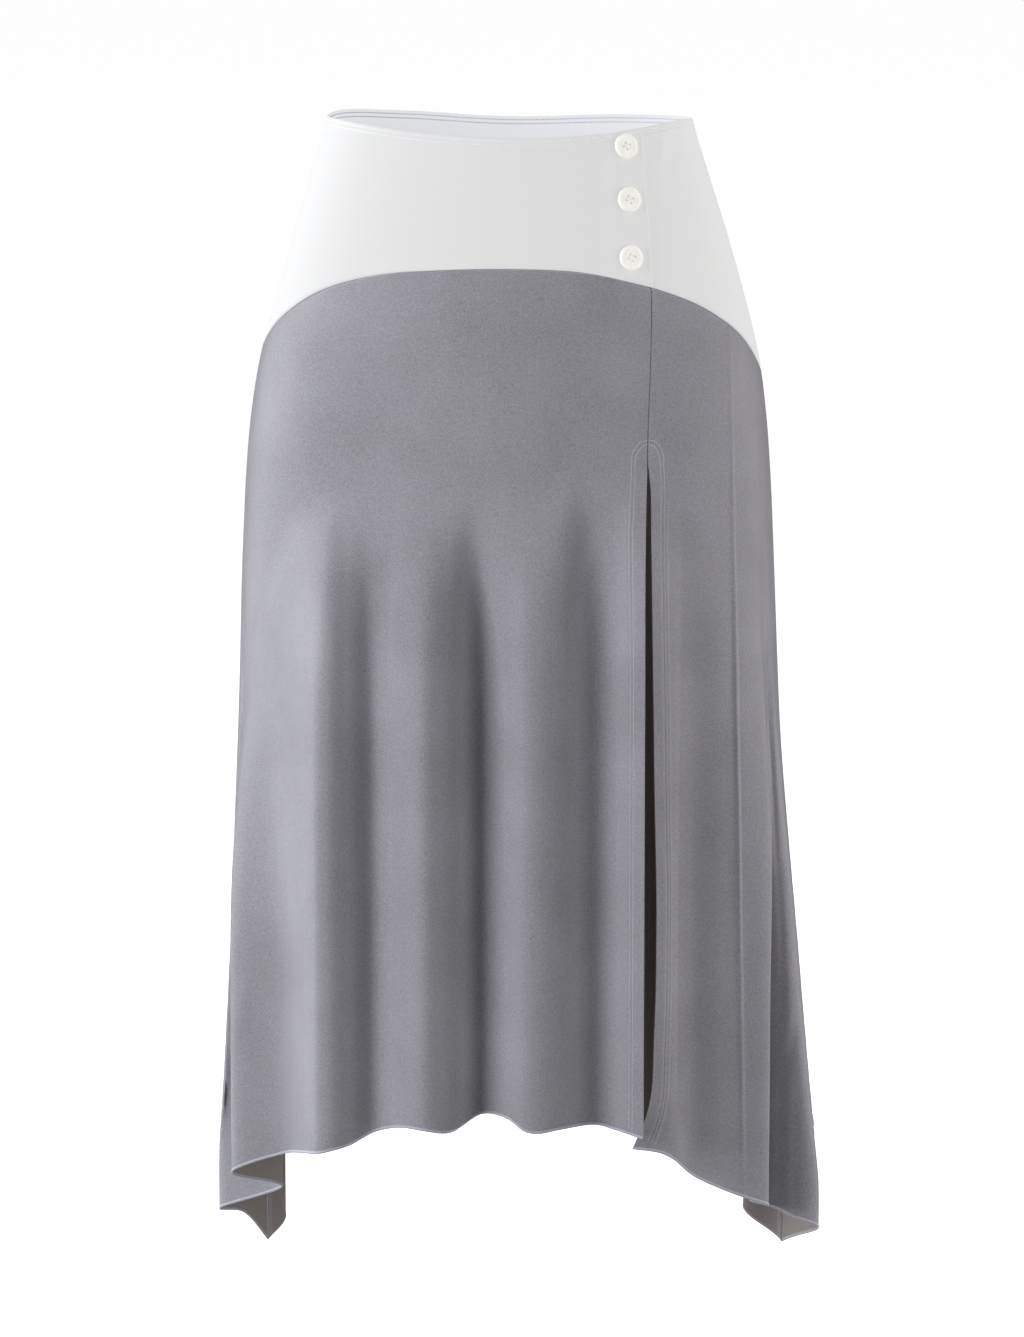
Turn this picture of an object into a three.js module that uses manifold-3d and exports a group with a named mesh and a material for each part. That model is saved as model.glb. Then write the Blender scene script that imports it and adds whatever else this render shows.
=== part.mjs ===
// High-low skirt with a shaped yoke and a front slit, filled out as when it is worn. Sizes are in mm.
// The origin is the middle of the waist opening, +Z is up, the front faces -Y and +X is the wearer's left.

import * as THREE from "three";
import { mergeVertices } from "three/addons/utils/BufferGeometryUtils.js";
import Module from "manifold-3d";

// Cloth and seams
const SKIRT_WALL = 1.2;
const YOKE_WALL = 1.5;
const SEAM_GAP = 0.3;

// Placket: the front yoke's edge lies on the side yoke, and the three buttons lie on the front yoke
const PLACKET_OVERLAP = 9.5;
const PLACKET_RAMP = 6;
const PLACKET_RAISE = YOKE_WALL + SEAM_GAP;

// Turns are angles round the body in degrees, counted on the yoke seam from the front centre to the
// wearer's left. The front panel's turns go on past 270, so that the loop starts and ends at the slit.
const SLIT_TURN = 38.1;
const LEFT_SEAM_TURN = 90;
const RIGHT_SEAM_TURN = 270;
const FULL_TURN = 360;

// Fineness of the solids
const COLUMNS_PER_ROW = 3;
const SKIRT_ROWS = 16;
const YOKE_ROWS = 4;

// Buttons
const BUTTON = {
  radius: 9,
  thickness: 3,
  rimWidth: 1.8,
  rimHeight: 0.7,
  edgeRound: 0.7,
  holeCount: 4,
  holeRadius: 1.0,
  holeOffset: 2.1,
  holeTurn: 12,
  sides: 28,
  holeSides: 8,
};
const BUTTON_PLACES = [
  { name: "button_top", x: 82.8, z: -15.8 },
  { name: "button_middle", x: 85.2, z: -54.1 },
  { name: "button_bottom", x: 86.7, z: -95.6 },
];

// Level sections of the smooth body under the folds, from above the waist to below the points.
// slitX is where the placket, the seam under it and the slit run.
const SECTIONS = [
  { z: 20, halfWidth: 130, halfDepth: 93, middle: -0.5, slitX: 94 },
  { z: 0, halfWidth: 134.6, halfDepth: 97, middle: -0.5, slitX: 95 },
  { z: -40, halfWidth: 146.5, halfDepth: 104, middle: -0.4, slitX: 97.5 },
  { z: -85, halfWidth: 160, halfDepth: 112, middle: 0.2, slitX: 101 },
  { z: -130, halfWidth: 172.9, halfDepth: 118, middle: 0.4, slitX: 103.3 },
  { z: -175, halfWidth: 184.7, halfDepth: 122, middle: -0.2, slitX: 102.5 },
  { z: -220, halfWidth: 192, halfDepth: 124.5, middle: -0.6, slitX: 101 },
  { z: -265, halfWidth: 196.2, halfDepth: 126, middle: -0.8, slitX: 100 },
  { z: -310, halfWidth: 199, halfDepth: 127, middle: -0.4, slitX: 99.2 },
  { z: -400, halfWidth: 203.2, halfDepth: 129, middle: 0.7, slitX: 98.5 },
  { z: -500, halfWidth: 207, halfDepth: 131, middle: 0.8, slitX: 98.5 },
  { z: -600, halfWidth: 212.7, halfDepth: 132.5, middle: 1.9, slitX: 98.5 },
  { z: -700, halfWidth: 218.5, halfDepth: 134, middle: 3.3, slitX: 99 },
  { z: -800, halfWidth: 225, halfDepth: 136, middle: 4.9, slitX: 100 },
  { z: -880, halfWidth: 229, halfDepth: 137, middle: 5.5, slitX: 100 },
];

// Heights of the waist edge and of the arched yoke seam round the body
const YOKE_EDGES = [
  { turn: 0, waist: -8.4, seam: -102.3 },
  { turn: 18, waist: -7.2, seam: -105.2 },
  { turn: 38, waist: -3.6, seam: -117.9 },
  { turn: 53, waist: -1.2, seam: -132.2 },
  { turn: 70, waist: -0.6, seam: -155.2 },
  { turn: 90, waist: -2.4, seam: -188 },
  { turn: 112, waist: -3.9, seam: -165 },
  { turn: 145, waist: -6.5, seam: -134 },
  { turn: 180, waist: -9.5, seam: -124 },
  { turn: 215, waist: -3.6, seam: -132 },
  { turn: 248, waist: 0.8, seam: -152 },
  { turn: 270, waist: -0.4, seam: -168 },
  { turn: 287, waist: 0.2, seam: -146.3 },
  { turn: 306, waist: -1.4, seam: -122.6 },
  { turn: 326, waist: -4.8, seam: -108.2 },
  { turn: 342, waist: -7.2, seam: -103.8 },
  { turn: 360, waist: -8.4, seam: -102.3 },
  { turn: 378, waist: -7.2, seam: -105.2 },
  { turn: 398, waist: -3.6, seam: -117.9 },
];

// The hem, followed from the side front's slit edge past the left side seam, the back and the right side
// seam to the front panel's slit edge. turn is the column of the hip that hangs there, x, y and z are its
// place at the hem, start is the height where its fold begins, and haste is how soon the fold opens below
// that: 1 would be slow and even. Ridges stand out and valleys lie in. The hem comes to a corner at the two
// side seams.
const HEM = [
  { fold: "slit edge", turn: 38.1, x: 98.5, y: -120, z: -757, start: -243, haste: 14 },
  { fold: "flank", turn: 44, x: 117, y: -112, z: -763.5, start: -262, haste: 8 },
  { fold: "valley", turn: 49.5, x: 136, y: -100, z: -782.5, start: -280, haste: 5 },
  { fold: "flat", turn: 56.5, x: 157, y: -93.5, z: -794.5, start: -290, haste: 5 },
  { fold: "crease", turn: 63.5, x: 174, y: -88, z: -802.5, start: -300, haste: 5 },
  { fold: "folded edge", turn: 73, x: 194, y: -80, z: -811, start: -350, haste: 5 },
  { fold: "tucked valley", turn: 77, x: 182, y: -54, z: -815, start: -360, haste: 5 },
  { fold: "dark flank", turn: 80.5, x: 200, y: -56, z: -820, start: -400, haste: 5 },
  { fold: "dark edge", turn: 83, x: 212, y: -57, z: -826, start: -470, haste: 5 },
  { fold: "side ridge", turn: 86, x: 232, y: -50, z: -835, start: -740, haste: 5 },
  { fold: "left side seam", turn: 90, x: 210, y: 38, z: -871, start: -450, haste: 5, corner: true },
  { fold: "back valley", turn: 97, x: 181, y: 60, z: -850, start: -340, haste: 5 },
  { fold: "back ridge", turn: 109, x: 207, y: 92, z: -836, start: -310, haste: 5 },
  { fold: "back valley", turn: 120, x: 162, y: 98, z: -822, start: -290, haste: 5 },
  { fold: "back ridge", turn: 132, x: 142, y: 130, z: -810, start: -280, haste: 5 },
  { fold: "back valley", turn: 143, x: 104, y: 114, z: -798, start: -280, haste: 5 },
  { fold: "back ridge", turn: 154, x: 76, y: 150, z: -791, start: -270, haste: 5 },
  { fold: "back valley", turn: 165, x: 40, y: 121, z: -786, start: -270, haste: 5 },
  { fold: "back ridge", turn: 177, x: 8, y: 154, z: -785, start: -275, haste: 5 },
  { fold: "back valley", turn: 189, x: -30, y: 120, z: -786, start: -280, haste: 5 },
  { fold: "back ridge", turn: 201, x: -66, y: 150, z: -790, start: -270, haste: 5 },
  { fold: "back valley", turn: 214, x: -102, y: 113, z: -797, start: -280, haste: 5 },
  { fold: "back ridge", turn: 228, x: -140, y: 128, z: -804, start: -290, haste: 5 },
  { fold: "back valley", turn: 241, x: -158, y: 94, z: -808, start: -300, haste: 5 },
  { fold: "back ridge", turn: 254, x: -203, y: 86, z: -832, start: -320, haste: 5 },
  { fold: "inner turn", turn: 265, x: -174, y: 57, z: -855, start: -400, haste: 5 },
  { fold: "right side seam", turn: 270, x: -187, y: 36, z: -869, start: -440, haste: 5, corner: true },
  { fold: "inner flank", turn: 272, x: -204, y: 19, z: -843, start: -500, haste: 5 },
  { fold: "outer turn", turn: 274.5, x: -222, y: 3, z: -836, start: -740, haste: 5 },
  { fold: "tucked turn", turn: 279, x: -173, y: -36, z: -808, start: -410, haste: 5 },
  { fold: "folded edge", turn: 285.5, x: -209, y: -75, z: -787, start: -420, haste: 5 },
  { fold: "valley", turn: 297, x: -169, y: -98, z: -766.5, start: -340, haste: 5 },
  { fold: "flank", turn: 308, x: -154, y: -125, z: -759, start: -285, haste: 8 },
  { fold: "ridge", turn: 316, x: -142, y: -143, z: -755, start: -272, haste: 12 },
  { fold: "crown", turn: 321, x: -133, y: -145.5, z: -752.5, start: -268, haste: 14 },
  { fold: "shoulder", turn: 327, x: -118, y: -138.5, z: -749.5, start: -265, haste: 14 },
  { fold: "valley", turn: 333, x: -101, y: -130, z: -742, start: -262, haste: 14 },
  { fold: "flank", turn: 338, x: -90, y: -134, z: -738, start: -264, haste: 14 },
  { fold: "flank", turn: 342, x: -78, y: -148, z: -734, start: -266, haste: 14 },
  { fold: "ridge", turn: 348, x: -63, y: -158, z: -734, start: -268, haste: 14 },
  { fold: "shoulder", turn: 352.5, x: -44, y: -147, z: -738, start: -265, haste: 14 },
  { fold: "valley", turn: 358, x: -20, y: -125, z: -729, start: -262, haste: 14 },
  { fold: "flank", turn: 363, x: -2, y: -137, z: -730, start: -262, haste: 14 },
  { fold: "ridge", turn: 369, x: 11, y: -148, z: -737, start: -262, haste: 14 },
  { fold: "crown", turn: 374, x: 21, y: -148, z: -738.5, start: -256, haste: 14 },
  { fold: "shoulder", turn: 378, x: 37, y: -140, z: -737.5, start: -245, haste: 14 },
  { fold: "valley", turn: 383.5, x: 64, y: -121, z: -738.5, start: -230, haste: 9 },
  { fold: "flank", turn: 389, x: 77, y: -126, z: -741, start: -228, haste: 12 },
  { fold: "flank", turn: 393.5, x: 87.5, y: -136, z: -742, start: -236, haste: 14 },
  { fold: "slit edge", turn: 398.1, x: 98.5, y: -143, z: -744, start: -243, haste: 14 },
];

// The slit is sewn shut above its top, then opens this wide between the two panel edges, which cross
// each other just above the hem
const SLIT_GAPS = [
  { z: -241, gap: 0 },
  { z: -262, gap: 2.4 },
  { z: -300, gap: 3.8 },
  { z: -390, gap: 5.8 },
  { z: -470, gap: 7 },
  { z: -590, gap: 9.2 },
  { z: -665, gap: 7.8 },
  { z: -732, gap: 2 },
  { z: -760, gap: -9 },
];
const SLIT_FADE_TURN = 8;

// Finishes
const FINISHES = {
  yoke: { color: 0xe9e9e8, roughness: 0.85 },
  skirt: { color: 0x8d8c94, roughness: 0.82 },
  button: { color: 0xece9e3, roughness: 0.35 },
};

const clamp01 = (value) => Math.min(1, Math.max(0, value));
const mix = (from, to, part) => from + (to - from) * part;
const smooth = (value) => value * value * (3 - 2 * value);
const radians = (degrees) => (degrees * Math.PI) / 180;

// Positions along a table for a smooth curve through its rows, from each row's step to the next
function knotsOf(rows, step) {
  const knots = [0];
  for (let i = 1; i < rows.length; i += 1) {
    knots.push(knots[i - 1] + step(rows[i - 1], rows[i]));
  }
  return knots;
}

// Slope of a table's column at row i, from its neighbours (a Catmull-Rom tangent). At either end, and at
// a corner of the hem, it is that of the straight line to the row on the same side.
function slopeAt(rows, knots, key, i, side) {
  const rise = (a, b) => (rows[b][key] - rows[a][key]) / (knots[b] - knots[a]);
  const last = rows.length - 1;
  if (i === 0) return rise(0, 1);
  if (i === last) return rise(last - 1, last);
  if (rows[i].corner && key === "z") return side === "after" ? rise(i, i + 1) : rise(i - 1, i);
  return rise(i, i + 1) - rise(i - 1, i + 1) + rise(i - 1, i);
}

// Value of a table's column at a position along it, on a smooth curve through the rows
function valueAt(rows, knots, key, position) {
  let i = 0;
  while (i < rows.length - 2 && position > knots[i + 1]) i += 1;
  const span = knots[i + 1] - knots[i];
  const t = clamp01((position - knots[i]) / span);
  const startSlope = slopeAt(rows, knots, key, i, "after") * span;
  const endSlope = slopeAt(rows, knots, key, i + 1, "before") * span;
  const start = rows[i][key];
  const end = rows[i + 1][key];
  const bow = startSlope * (1 - t) - endSlope * t + (end - start) * (2 * t - 1);
  return mix(start, end, t) + t * (1 - t) * bow;
}

const SECTION_KNOTS = knotsOf(SECTIONS, (above, below) => above.z - below.z);
const EDGE_KNOTS = knotsOf(YOKE_EDGES, (before, after) => after.turn - before.turn);
const GAP_KNOTS = knotsOf(SLIT_GAPS, (above, below) => above.z - below.z);
const HEM_KNOTS = knotsOf(HEM, (before, after) =>
  Math.sqrt(Math.hypot(after.x - before.x, after.y - before.y)),
);

const sectionAt = (key, z) => valueAt(SECTIONS, SECTION_KNOTS, key, SECTIONS[0].z - z);
const edgeAt = (key, turn) => valueAt(YOKE_EDGES, EDGE_KNOTS, key, turn);
const slitGapAt = (z) => valueAt(SLIT_GAPS, GAP_KNOTS, "gap", SLIT_GAPS[0].z - z);

// Angle round the section at a height, for a column of the yoke seam. The slit stays on its own line.
function angleAt(turn, z) {
  const wrapped = turn > RIGHT_SEAM_TURN ? turn - FULL_TURN : turn;
  const reach = (sectionAt("slitX", z) - sectionAt("middle", z)) / sectionAt("halfWidth", z);
  const slit = THREE.MathUtils.radToDeg(Math.asin(reach));
  if (wrapped > LEFT_SEAM_TURN) return wrapped;
  if (wrapped > SLIT_TURN) {
    const part = (wrapped - SLIT_TURN) / (LEFT_SEAM_TURN - SLIT_TURN);
    return mix(slit, LEFT_SEAM_TURN, part);
  }
  const part = (wrapped + LEFT_SEAM_TURN) / (SLIT_TURN + LEFT_SEAM_TURN);
  return mix(-LEFT_SEAM_TURN, slit, part);
}

// Point of the smooth body at an angle and height, moved out by raise
function bodyPoint(angle, z, raise = 0) {
  const a = radians(angle);
  return new THREE.Vector3(
    sectionAt("middle", z) + (sectionAt("halfWidth", z) + raise) * Math.sin(a),
    -(sectionAt("halfDepth", z) + raise) * Math.cos(a),
    z,
  );
}

// One column of cloth, with all that its table row says
function columnAt(position) {
  const column = {};
  for (const key of ["turn", "x", "y", "z", "start", "haste"]) {
    column[key] = valueAt(HEM, HEM_KNOTS, key, position);
  }
  return column;
}

// Columns of the panel between two rows of the hem table, both included
function columnsBetween(first, last) {
  const columns = [];
  for (let i = first; i < last; i += 1) {
    for (let j = 0; j < COLUMNS_PER_ROW; j += 1) {
      columns.push(columnAt(mix(HEM_KNOTS[i], HEM_KNOTS[i + 1], j / COLUMNS_PER_ROW)));
    }
  }
  columns.push(columnAt(HEM_KNOTS[last]));
  return columns;
}

// Point of the skirt on a column, from the yoke seam (drop 0) to the hem (drop 1). Above the column's start
// it lies on the body, and below it the cloth soon hangs straight down to its place at the hem.
function skirtPoint(column, drop) {
  const top = edgeAt("seam", column.turn) - SEAM_GAP / 2;
  const z = mix(top, column.z, drop);
  const fall = clamp01((column.start - z) / (column.start - column.z));
  const opened = 1 - (1 - fall) ** column.haste * (1 + column.haste * fall);
  const point = bodyPoint(angleAt(column.turn, z), z);
  point.lerp(new THREE.Vector3(column.x, column.y, z), opened);
  point.x += slitGapAt(z) * clamp01(1 - (column.turn - SLIT_TURN) / SLIT_FADE_TURN);
  return point;
}

// Point of the yoke on a column, from the waist edge (drop 0) to the yoke seam (drop 1)
function yokePoint(column, drop, raise = 0) {
  const top = edgeAt("waist", column.turn);
  const bottom = edgeAt("seam", column.turn) + SEAM_GAP / 2;
  const z = mix(top, bottom, drop);
  return bodyPoint(angleAt(column.turn, z), z, raise);
}

// Outward direction of the cloth at a grid point, from its neighbours
function normalAt(grid, i, j) {
  const lastRow = grid.length - 1;
  const lastColumn = grid[0].length - 1;
  const across = new THREE.Vector3().subVectors(
    grid[i][Math.min(j + 1, lastColumn)],
    grid[i][Math.max(j - 1, 0)],
  );
  const down = new THREE.Vector3().subVectors(
    grid[Math.min(i + 1, lastRow)][j],
    grid[Math.max(i - 1, 0)][j],
  );
  return down.cross(across).normalize();
}

// Outer and inner points of a panel, from its first column to its last. The directions come from the whole
// loop, so that two panels turn alike at their seam, and each end is drawn in by half of the seam gap.
function panelSkins(panel) {
  const { columns, first, last, rowCount, pointAt, thickness } = panel;
  const skins = { outer: [], inner: [] };
  const grid = [];
  for (let i = 0; i <= rowCount; i += 1) {
    grid.push(columns.map((column) => pointAt(column, i / rowCount)));
  }
  for (let i = 0; i <= rowCount; i += 1) {
    const outer = [];
    const inner = [];
    for (let j = first; j <= last; j += 1) {
      const point = grid[i][j].clone();
      if (j === first || j === last) {
        const next = grid[i][j === first ? j + 1 : j - 1];
        point.add(new THREE.Vector3().subVectors(next, point).setLength(SEAM_GAP / 2));
      }
      outer.push(point);
      inner.push(point.clone().addScaledVector(normalAt(grid, i, j), -thickness));
    }
    skins.outer.push(outer);
    skins.inner.push(inner);
  }
  return skins;
}

// A closed wall: the outer and the inner skin of a panel, joined round the rim
function wallGeometry(panel) {
  const skins = panelSkins(panel);
  const rowCount = skins.outer.length;
  const columnCount = skins.outer[0].length;
  const points = [...skins.outer.flat(), ...skins.inner.flat()];
  const inner = rowCount * columnCount;
  const at = (i, j) => i * columnCount + j;
  const indices = [];
  const quad = (a, b, c, d) => indices.push(a, b, c, a, c, d);
  for (let i = 0; i < rowCount - 1; i += 1) {
    for (let j = 0; j < columnCount - 1; j += 1) {
      quad(at(i, j), at(i + 1, j), at(i + 1, j + 1), at(i, j + 1));
      quad(inner + at(i, j), inner + at(i, j + 1), inner + at(i + 1, j + 1), inner + at(i + 1, j));
    }
  }
  const foot = rowCount - 1;
  for (let j = 0; j < columnCount - 1; j += 1) {
    quad(at(0, j), at(0, j + 1), inner + at(0, j + 1), inner + at(0, j));
    quad(at(foot, j + 1), at(foot, j), inner + at(foot, j), inner + at(foot, j + 1));
  }
  const edge = columnCount - 1;
  for (let i = 0; i < rowCount - 1; i += 1) {
    quad(at(i + 1, 0), at(i, 0), inner + at(i, 0), inner + at(i + 1, 0));
    quad(at(i, edge), at(i + 1, edge), inner + at(i + 1, edge), inner + at(i, edge));
  }
  const geometry = new THREE.BufferGeometry().setFromPoints(points);
  geometry.setIndex(indices);
  return geometry;
}

// Height of the placket's step under a column of the front yoke
function placketRaise(column) {
  const fromEdge = SLIT_TURN + FULL_TURN - column.turn;
  return PLACKET_RAISE * smooth(clamp01((PLACKET_OVERLAP + PLACKET_RAMP - fromEdge) / PLACKET_RAMP));
}

// A closed geometry as a solid that can be cut, and back again
function toManifold(wasm, geometry) {
  geometry.deleteAttribute("normal");
  geometry.deleteAttribute("uv");
  const merged = mergeVertices(geometry);
  const corners = merged.index.array;
  const triangles = [];
  for (let i = 0; i < corners.length; i += 3) {
    const [a, b, c] = corners.slice(i, i + 3);
    if (a !== b && b !== c && c !== a) triangles.push(a, b, c);
  }
  const mesh = new wasm.Mesh({
    numProp: 3,
    vertProperties: merged.getAttribute("position").array,
    triVerts: new Uint32Array(triangles),
  });
  return new wasm.Manifold(mesh);
}

function toGeometry(manifold) {
  const mesh = manifold.getMesh();
  const geometry = new THREE.BufferGeometry();
  geometry.setAttribute("position", new THREE.Float32BufferAttribute(mesh.vertProperties, 3));
  geometry.setIndex(Array.from(mesh.triVerts));
  return geometry;
}

// A button: a turned disc with a raised rim, cut through by its thread holes
function buttonGeometry(wasm) {
  const { radius, thickness, rimWidth, rimHeight, edgeRound, sides } = BUTTON;
  const { holeCount, holeRadius, holeOffset, holeTurn, holeSides } = BUTTON;
  const dishRadius = radius - rimWidth;
  const profile = [
    [0, 0],
    [radius - edgeRound, 0],
    [radius, edgeRound],
    [radius, thickness - edgeRound],
    [radius - edgeRound, thickness],
    [dishRadius + edgeRound, thickness],
    [dishRadius, thickness - rimHeight],
    [0, thickness - rimHeight],
  ].map(([x, y]) => new THREE.Vector2(x, y));
  const disc = new THREE.LatheGeometry(profile, sides).rotateX(Math.PI / 2);
  let button = toManifold(wasm, disc);
  for (let i = 0; i < holeCount; i += 1) {
    const around = radians(holeTurn + (FULL_TURN * i) / holeCount);
    const drill = new THREE.CylinderGeometry(holeRadius, holeRadius, 3 * thickness, holeSides);
    drill.rotateX(Math.PI / 2);
    drill.translate(holeOffset * Math.cos(around), holeOffset * Math.sin(around), 0);
    button = button.subtract(toManifold(wasm, drill));
  }
  return toGeometry(button);
}

// Sets a button on the placket, facing out, a seam gap off the cloth
function placeButton(mesh, place) {
  const reach = (place.x - sectionAt("middle", place.z)) / sectionAt("halfWidth", place.z);
  const angle = THREE.MathUtils.radToDeg(Math.asin(reach));
  const step = 1;
  const seat = bodyPoint(angle, place.z, PLACKET_RAISE);
  const across = bodyPoint(angle + step, place.z).sub(bodyPoint(angle - step, place.z)).normalize();
  const up = bodyPoint(angle, place.z + step).sub(bodyPoint(angle, place.z - step)).normalize();
  const out = new THREE.Vector3().crossVectors(across, up).normalize();
  up.crossVectors(out, across);
  mesh.quaternion.setFromRotationMatrix(new THREE.Matrix4().makeBasis(across, up, out));
  mesh.position.copy(seat).addScaledVector(out, SEAM_GAP);
}

function makeMesh(name, geometry, finish) {
  const mesh = new THREE.Mesh(geometry, new THREE.MeshStandardMaterial({ ...finish, metalness: 0 }));
  mesh.name = name;
  return mesh;
}

// Columns of cloth all the way round, and those of the side seams
const loop = columnsBetween(0, HEM.length - 1);
const columnOfFold = (name) => HEM.findIndex((row) => row.fold === name) * COLUMNS_PER_ROW;
const leftSeam = columnOfFold("left side seam");
const rightSeam = columnOfFold("right side seam");
const slitColumn = loop.length - 1;

// The columns of the front yoke that the side yoke runs under, and the loop that starts with them
const covered = loop
  .slice(rightSeam, slitColumn)
  .map((column) => ({ ...column, turn: column.turn - FULL_TURN }))
  .filter((column) => column.turn > SLIT_TURN - PLACKET_OVERLAP);
const coveredLoop = [...covered, ...loop];

const skirtCloth = { pointAt: skirtPoint, rowCount: SKIRT_ROWS, thickness: SKIRT_WALL, finish: "skirt" };
const yokeCloth = { pointAt: yokePoint, rowCount: YOKE_ROWS, thickness: YOKE_WALL, finish: "yoke" };
const frontYokeCloth = {
  ...yokeCloth,
  pointAt: (column, drop) => yokePoint(column, drop, placketRaise(column)),
};

const PANELS = [
  { name: "skirt_front", columns: loop, first: rightSeam, last: slitColumn, ...skirtCloth },
  { name: "skirt_side_front", columns: loop, first: 0, last: leftSeam, ...skirtCloth },
  { name: "skirt_back", columns: loop, first: leftSeam, last: rightSeam, ...skirtCloth },
  { name: "yoke_front", columns: loop, first: rightSeam, last: slitColumn, ...frontYokeCloth },
  {
    name: "yoke_side_front",
    columns: coveredLoop,
    first: 0,
    last: covered.length + leftSeam,
    ...yokeCloth,
  },
  { name: "yoke_back", columns: loop, first: leftSeam, last: rightSeam, ...yokeCloth },
];

const skirt = new THREE.Group();
for (const panel of PANELS) {
  skirt.add(makeMesh(panel.name, wallGeometry(panel), FINISHES[panel.finish]));
}

const wasm = await Module();
wasm.setup();
for (const place of BUTTON_PLACES) {
  const button = makeMesh(place.name, buttonGeometry(wasm), FINISHES.button);
  placeButton(button, place);
  skirt.add(button);
}

export default skirt;
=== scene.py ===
"""High-low skirt, dressed: fine cloth in place of the solid walls, its sewing, the buttons and a studio.

Tables and sizes are in millimetres unless a class says otherwise, and lengths become metres where a mesh
is made. The origin is the middle of the waist opening, +Z is up, the front faces -Y and +X is the
wearer's left.
"""
from __future__ import annotations

import logging
import math
from dataclasses import dataclass, field
from enum import Enum
from typing import Callable, NamedTuple

import bmesh
import bpy
import numpy as np
from mathutils import Matrix, Vector


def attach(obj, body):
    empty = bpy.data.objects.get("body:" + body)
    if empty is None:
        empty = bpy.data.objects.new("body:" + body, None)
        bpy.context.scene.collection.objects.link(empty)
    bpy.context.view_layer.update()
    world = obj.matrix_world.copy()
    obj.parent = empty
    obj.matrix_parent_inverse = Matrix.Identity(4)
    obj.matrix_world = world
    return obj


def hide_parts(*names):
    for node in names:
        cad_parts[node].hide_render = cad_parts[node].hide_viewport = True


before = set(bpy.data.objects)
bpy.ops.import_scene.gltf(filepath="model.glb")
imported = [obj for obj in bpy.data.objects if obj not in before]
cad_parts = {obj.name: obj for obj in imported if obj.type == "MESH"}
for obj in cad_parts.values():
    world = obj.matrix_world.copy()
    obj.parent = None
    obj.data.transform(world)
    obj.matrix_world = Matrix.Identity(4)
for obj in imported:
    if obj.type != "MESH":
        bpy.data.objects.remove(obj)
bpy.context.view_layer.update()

log = logging.getLogger("skirt")

Colour = tuple[float, float, float]
Band = tuple[float, ...]
Array = np.ndarray

MM = 0.001
BODY_NAME = "root"

# Seams and the placket, as in the solids
SEAM_GAP = 0.3
YOKE_WALL = 1.5
PLACKET_RAISE = YOKE_WALL + SEAM_GAP
PLACKET_OVERLAP = 9.5
PLACKET_RAMP = 6.0
SLIT_TURN = 38.1
LEFT_SEAM_TURN = 90.0
RIGHT_SEAM_TURN = 270.0
FULL_TURN = 360.0
SLIT_TOP = -241.0
SLIT_FADE_TURN = 8.0

# Distance between two panels where they are cut, before their edges turn in
CLOTH_GAP = 0.04

# How finely the cloth is drawn
LOOP_STEPS_PER_ROW = 24

# Row or column that is far enough from an edge for a steady direction
STEADY = 9


class Section(NamedTuple):
    """A level section of the smooth body under the folds."""

    z: float
    half_width: float
    half_depth: float
    middle: float
    slit_x: float


class YokeEdge(NamedTuple):
    """Heights of the waist edge and of the yoke seam at a turn round the body."""

    turn: float
    waist: float
    seam: float


class HemPoint(NamedTuple):
    """Where one column of the hip hangs at the hem, where its fold begins and how soon it opens."""

    fold: str
    turn: float
    x: float
    y: float
    z: float
    start: float
    haste: float


class SlitGap(NamedTuple):
    """How wide the slit stands open at a height."""

    z: float
    gap: float


class Crease(NamedTuple):
    """A soft trough or ridge, placed in the front view. Depth is below zero for a trough."""

    name: str
    x: float
    z: float
    lean: float
    length: float
    width: float
    depth: float


SECTIONS = (
    Section(20, 130, 93, -0.5, 94),
    Section(0, 134.6, 97, -0.5, 95),
    Section(-40, 146.5, 104, -0.4, 97.5),
    Section(-85, 160, 112, 0.2, 101),
    Section(-130, 172.9, 118, 0.4, 103.3),
    Section(-175, 184.7, 122, -0.2, 102.5),
    Section(-220, 192, 124.5, -0.6, 101),
    Section(-265, 196.2, 126, -0.8, 100),
    Section(-310, 199, 127, -0.4, 99.2),
    Section(-400, 203.2, 129, 0.7, 98.5),
    Section(-500, 207, 131, 0.8, 98.5),
    Section(-600, 212.7, 132.5, 1.9, 98.5),
    Section(-700, 218.5, 134, 3.3, 99),
    Section(-800, 225, 136, 4.9, 100),
    Section(-880, 229, 137, 5.5, 100),
)

YOKE_EDGES = (
    YokeEdge(0, -8.4, -102.3),
    YokeEdge(18, -7.2, -105.2),
    YokeEdge(38, -3.6, -117.9),
    YokeEdge(53, -1.2, -132.2),
    YokeEdge(70, -0.6, -155.2),
    YokeEdge(90, -2.4, -188),
    YokeEdge(112, -3.9, -165),
    YokeEdge(145, -6.5, -134),
    YokeEdge(180, -9.5, -124),
    YokeEdge(215, -3.6, -132),
    YokeEdge(248, 0.8, -152),
    YokeEdge(270, -0.4, -168),
    YokeEdge(287, 0.2, -146.3),
    YokeEdge(306, -1.4, -122.6),
    YokeEdge(326, -4.8, -108.2),
    YokeEdge(342, -7.2, -103.8),
    YokeEdge(360, -8.4, -102.3),
    YokeEdge(378, -7.2, -105.2),
    YokeEdge(398, -3.6, -117.9),
)

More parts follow.
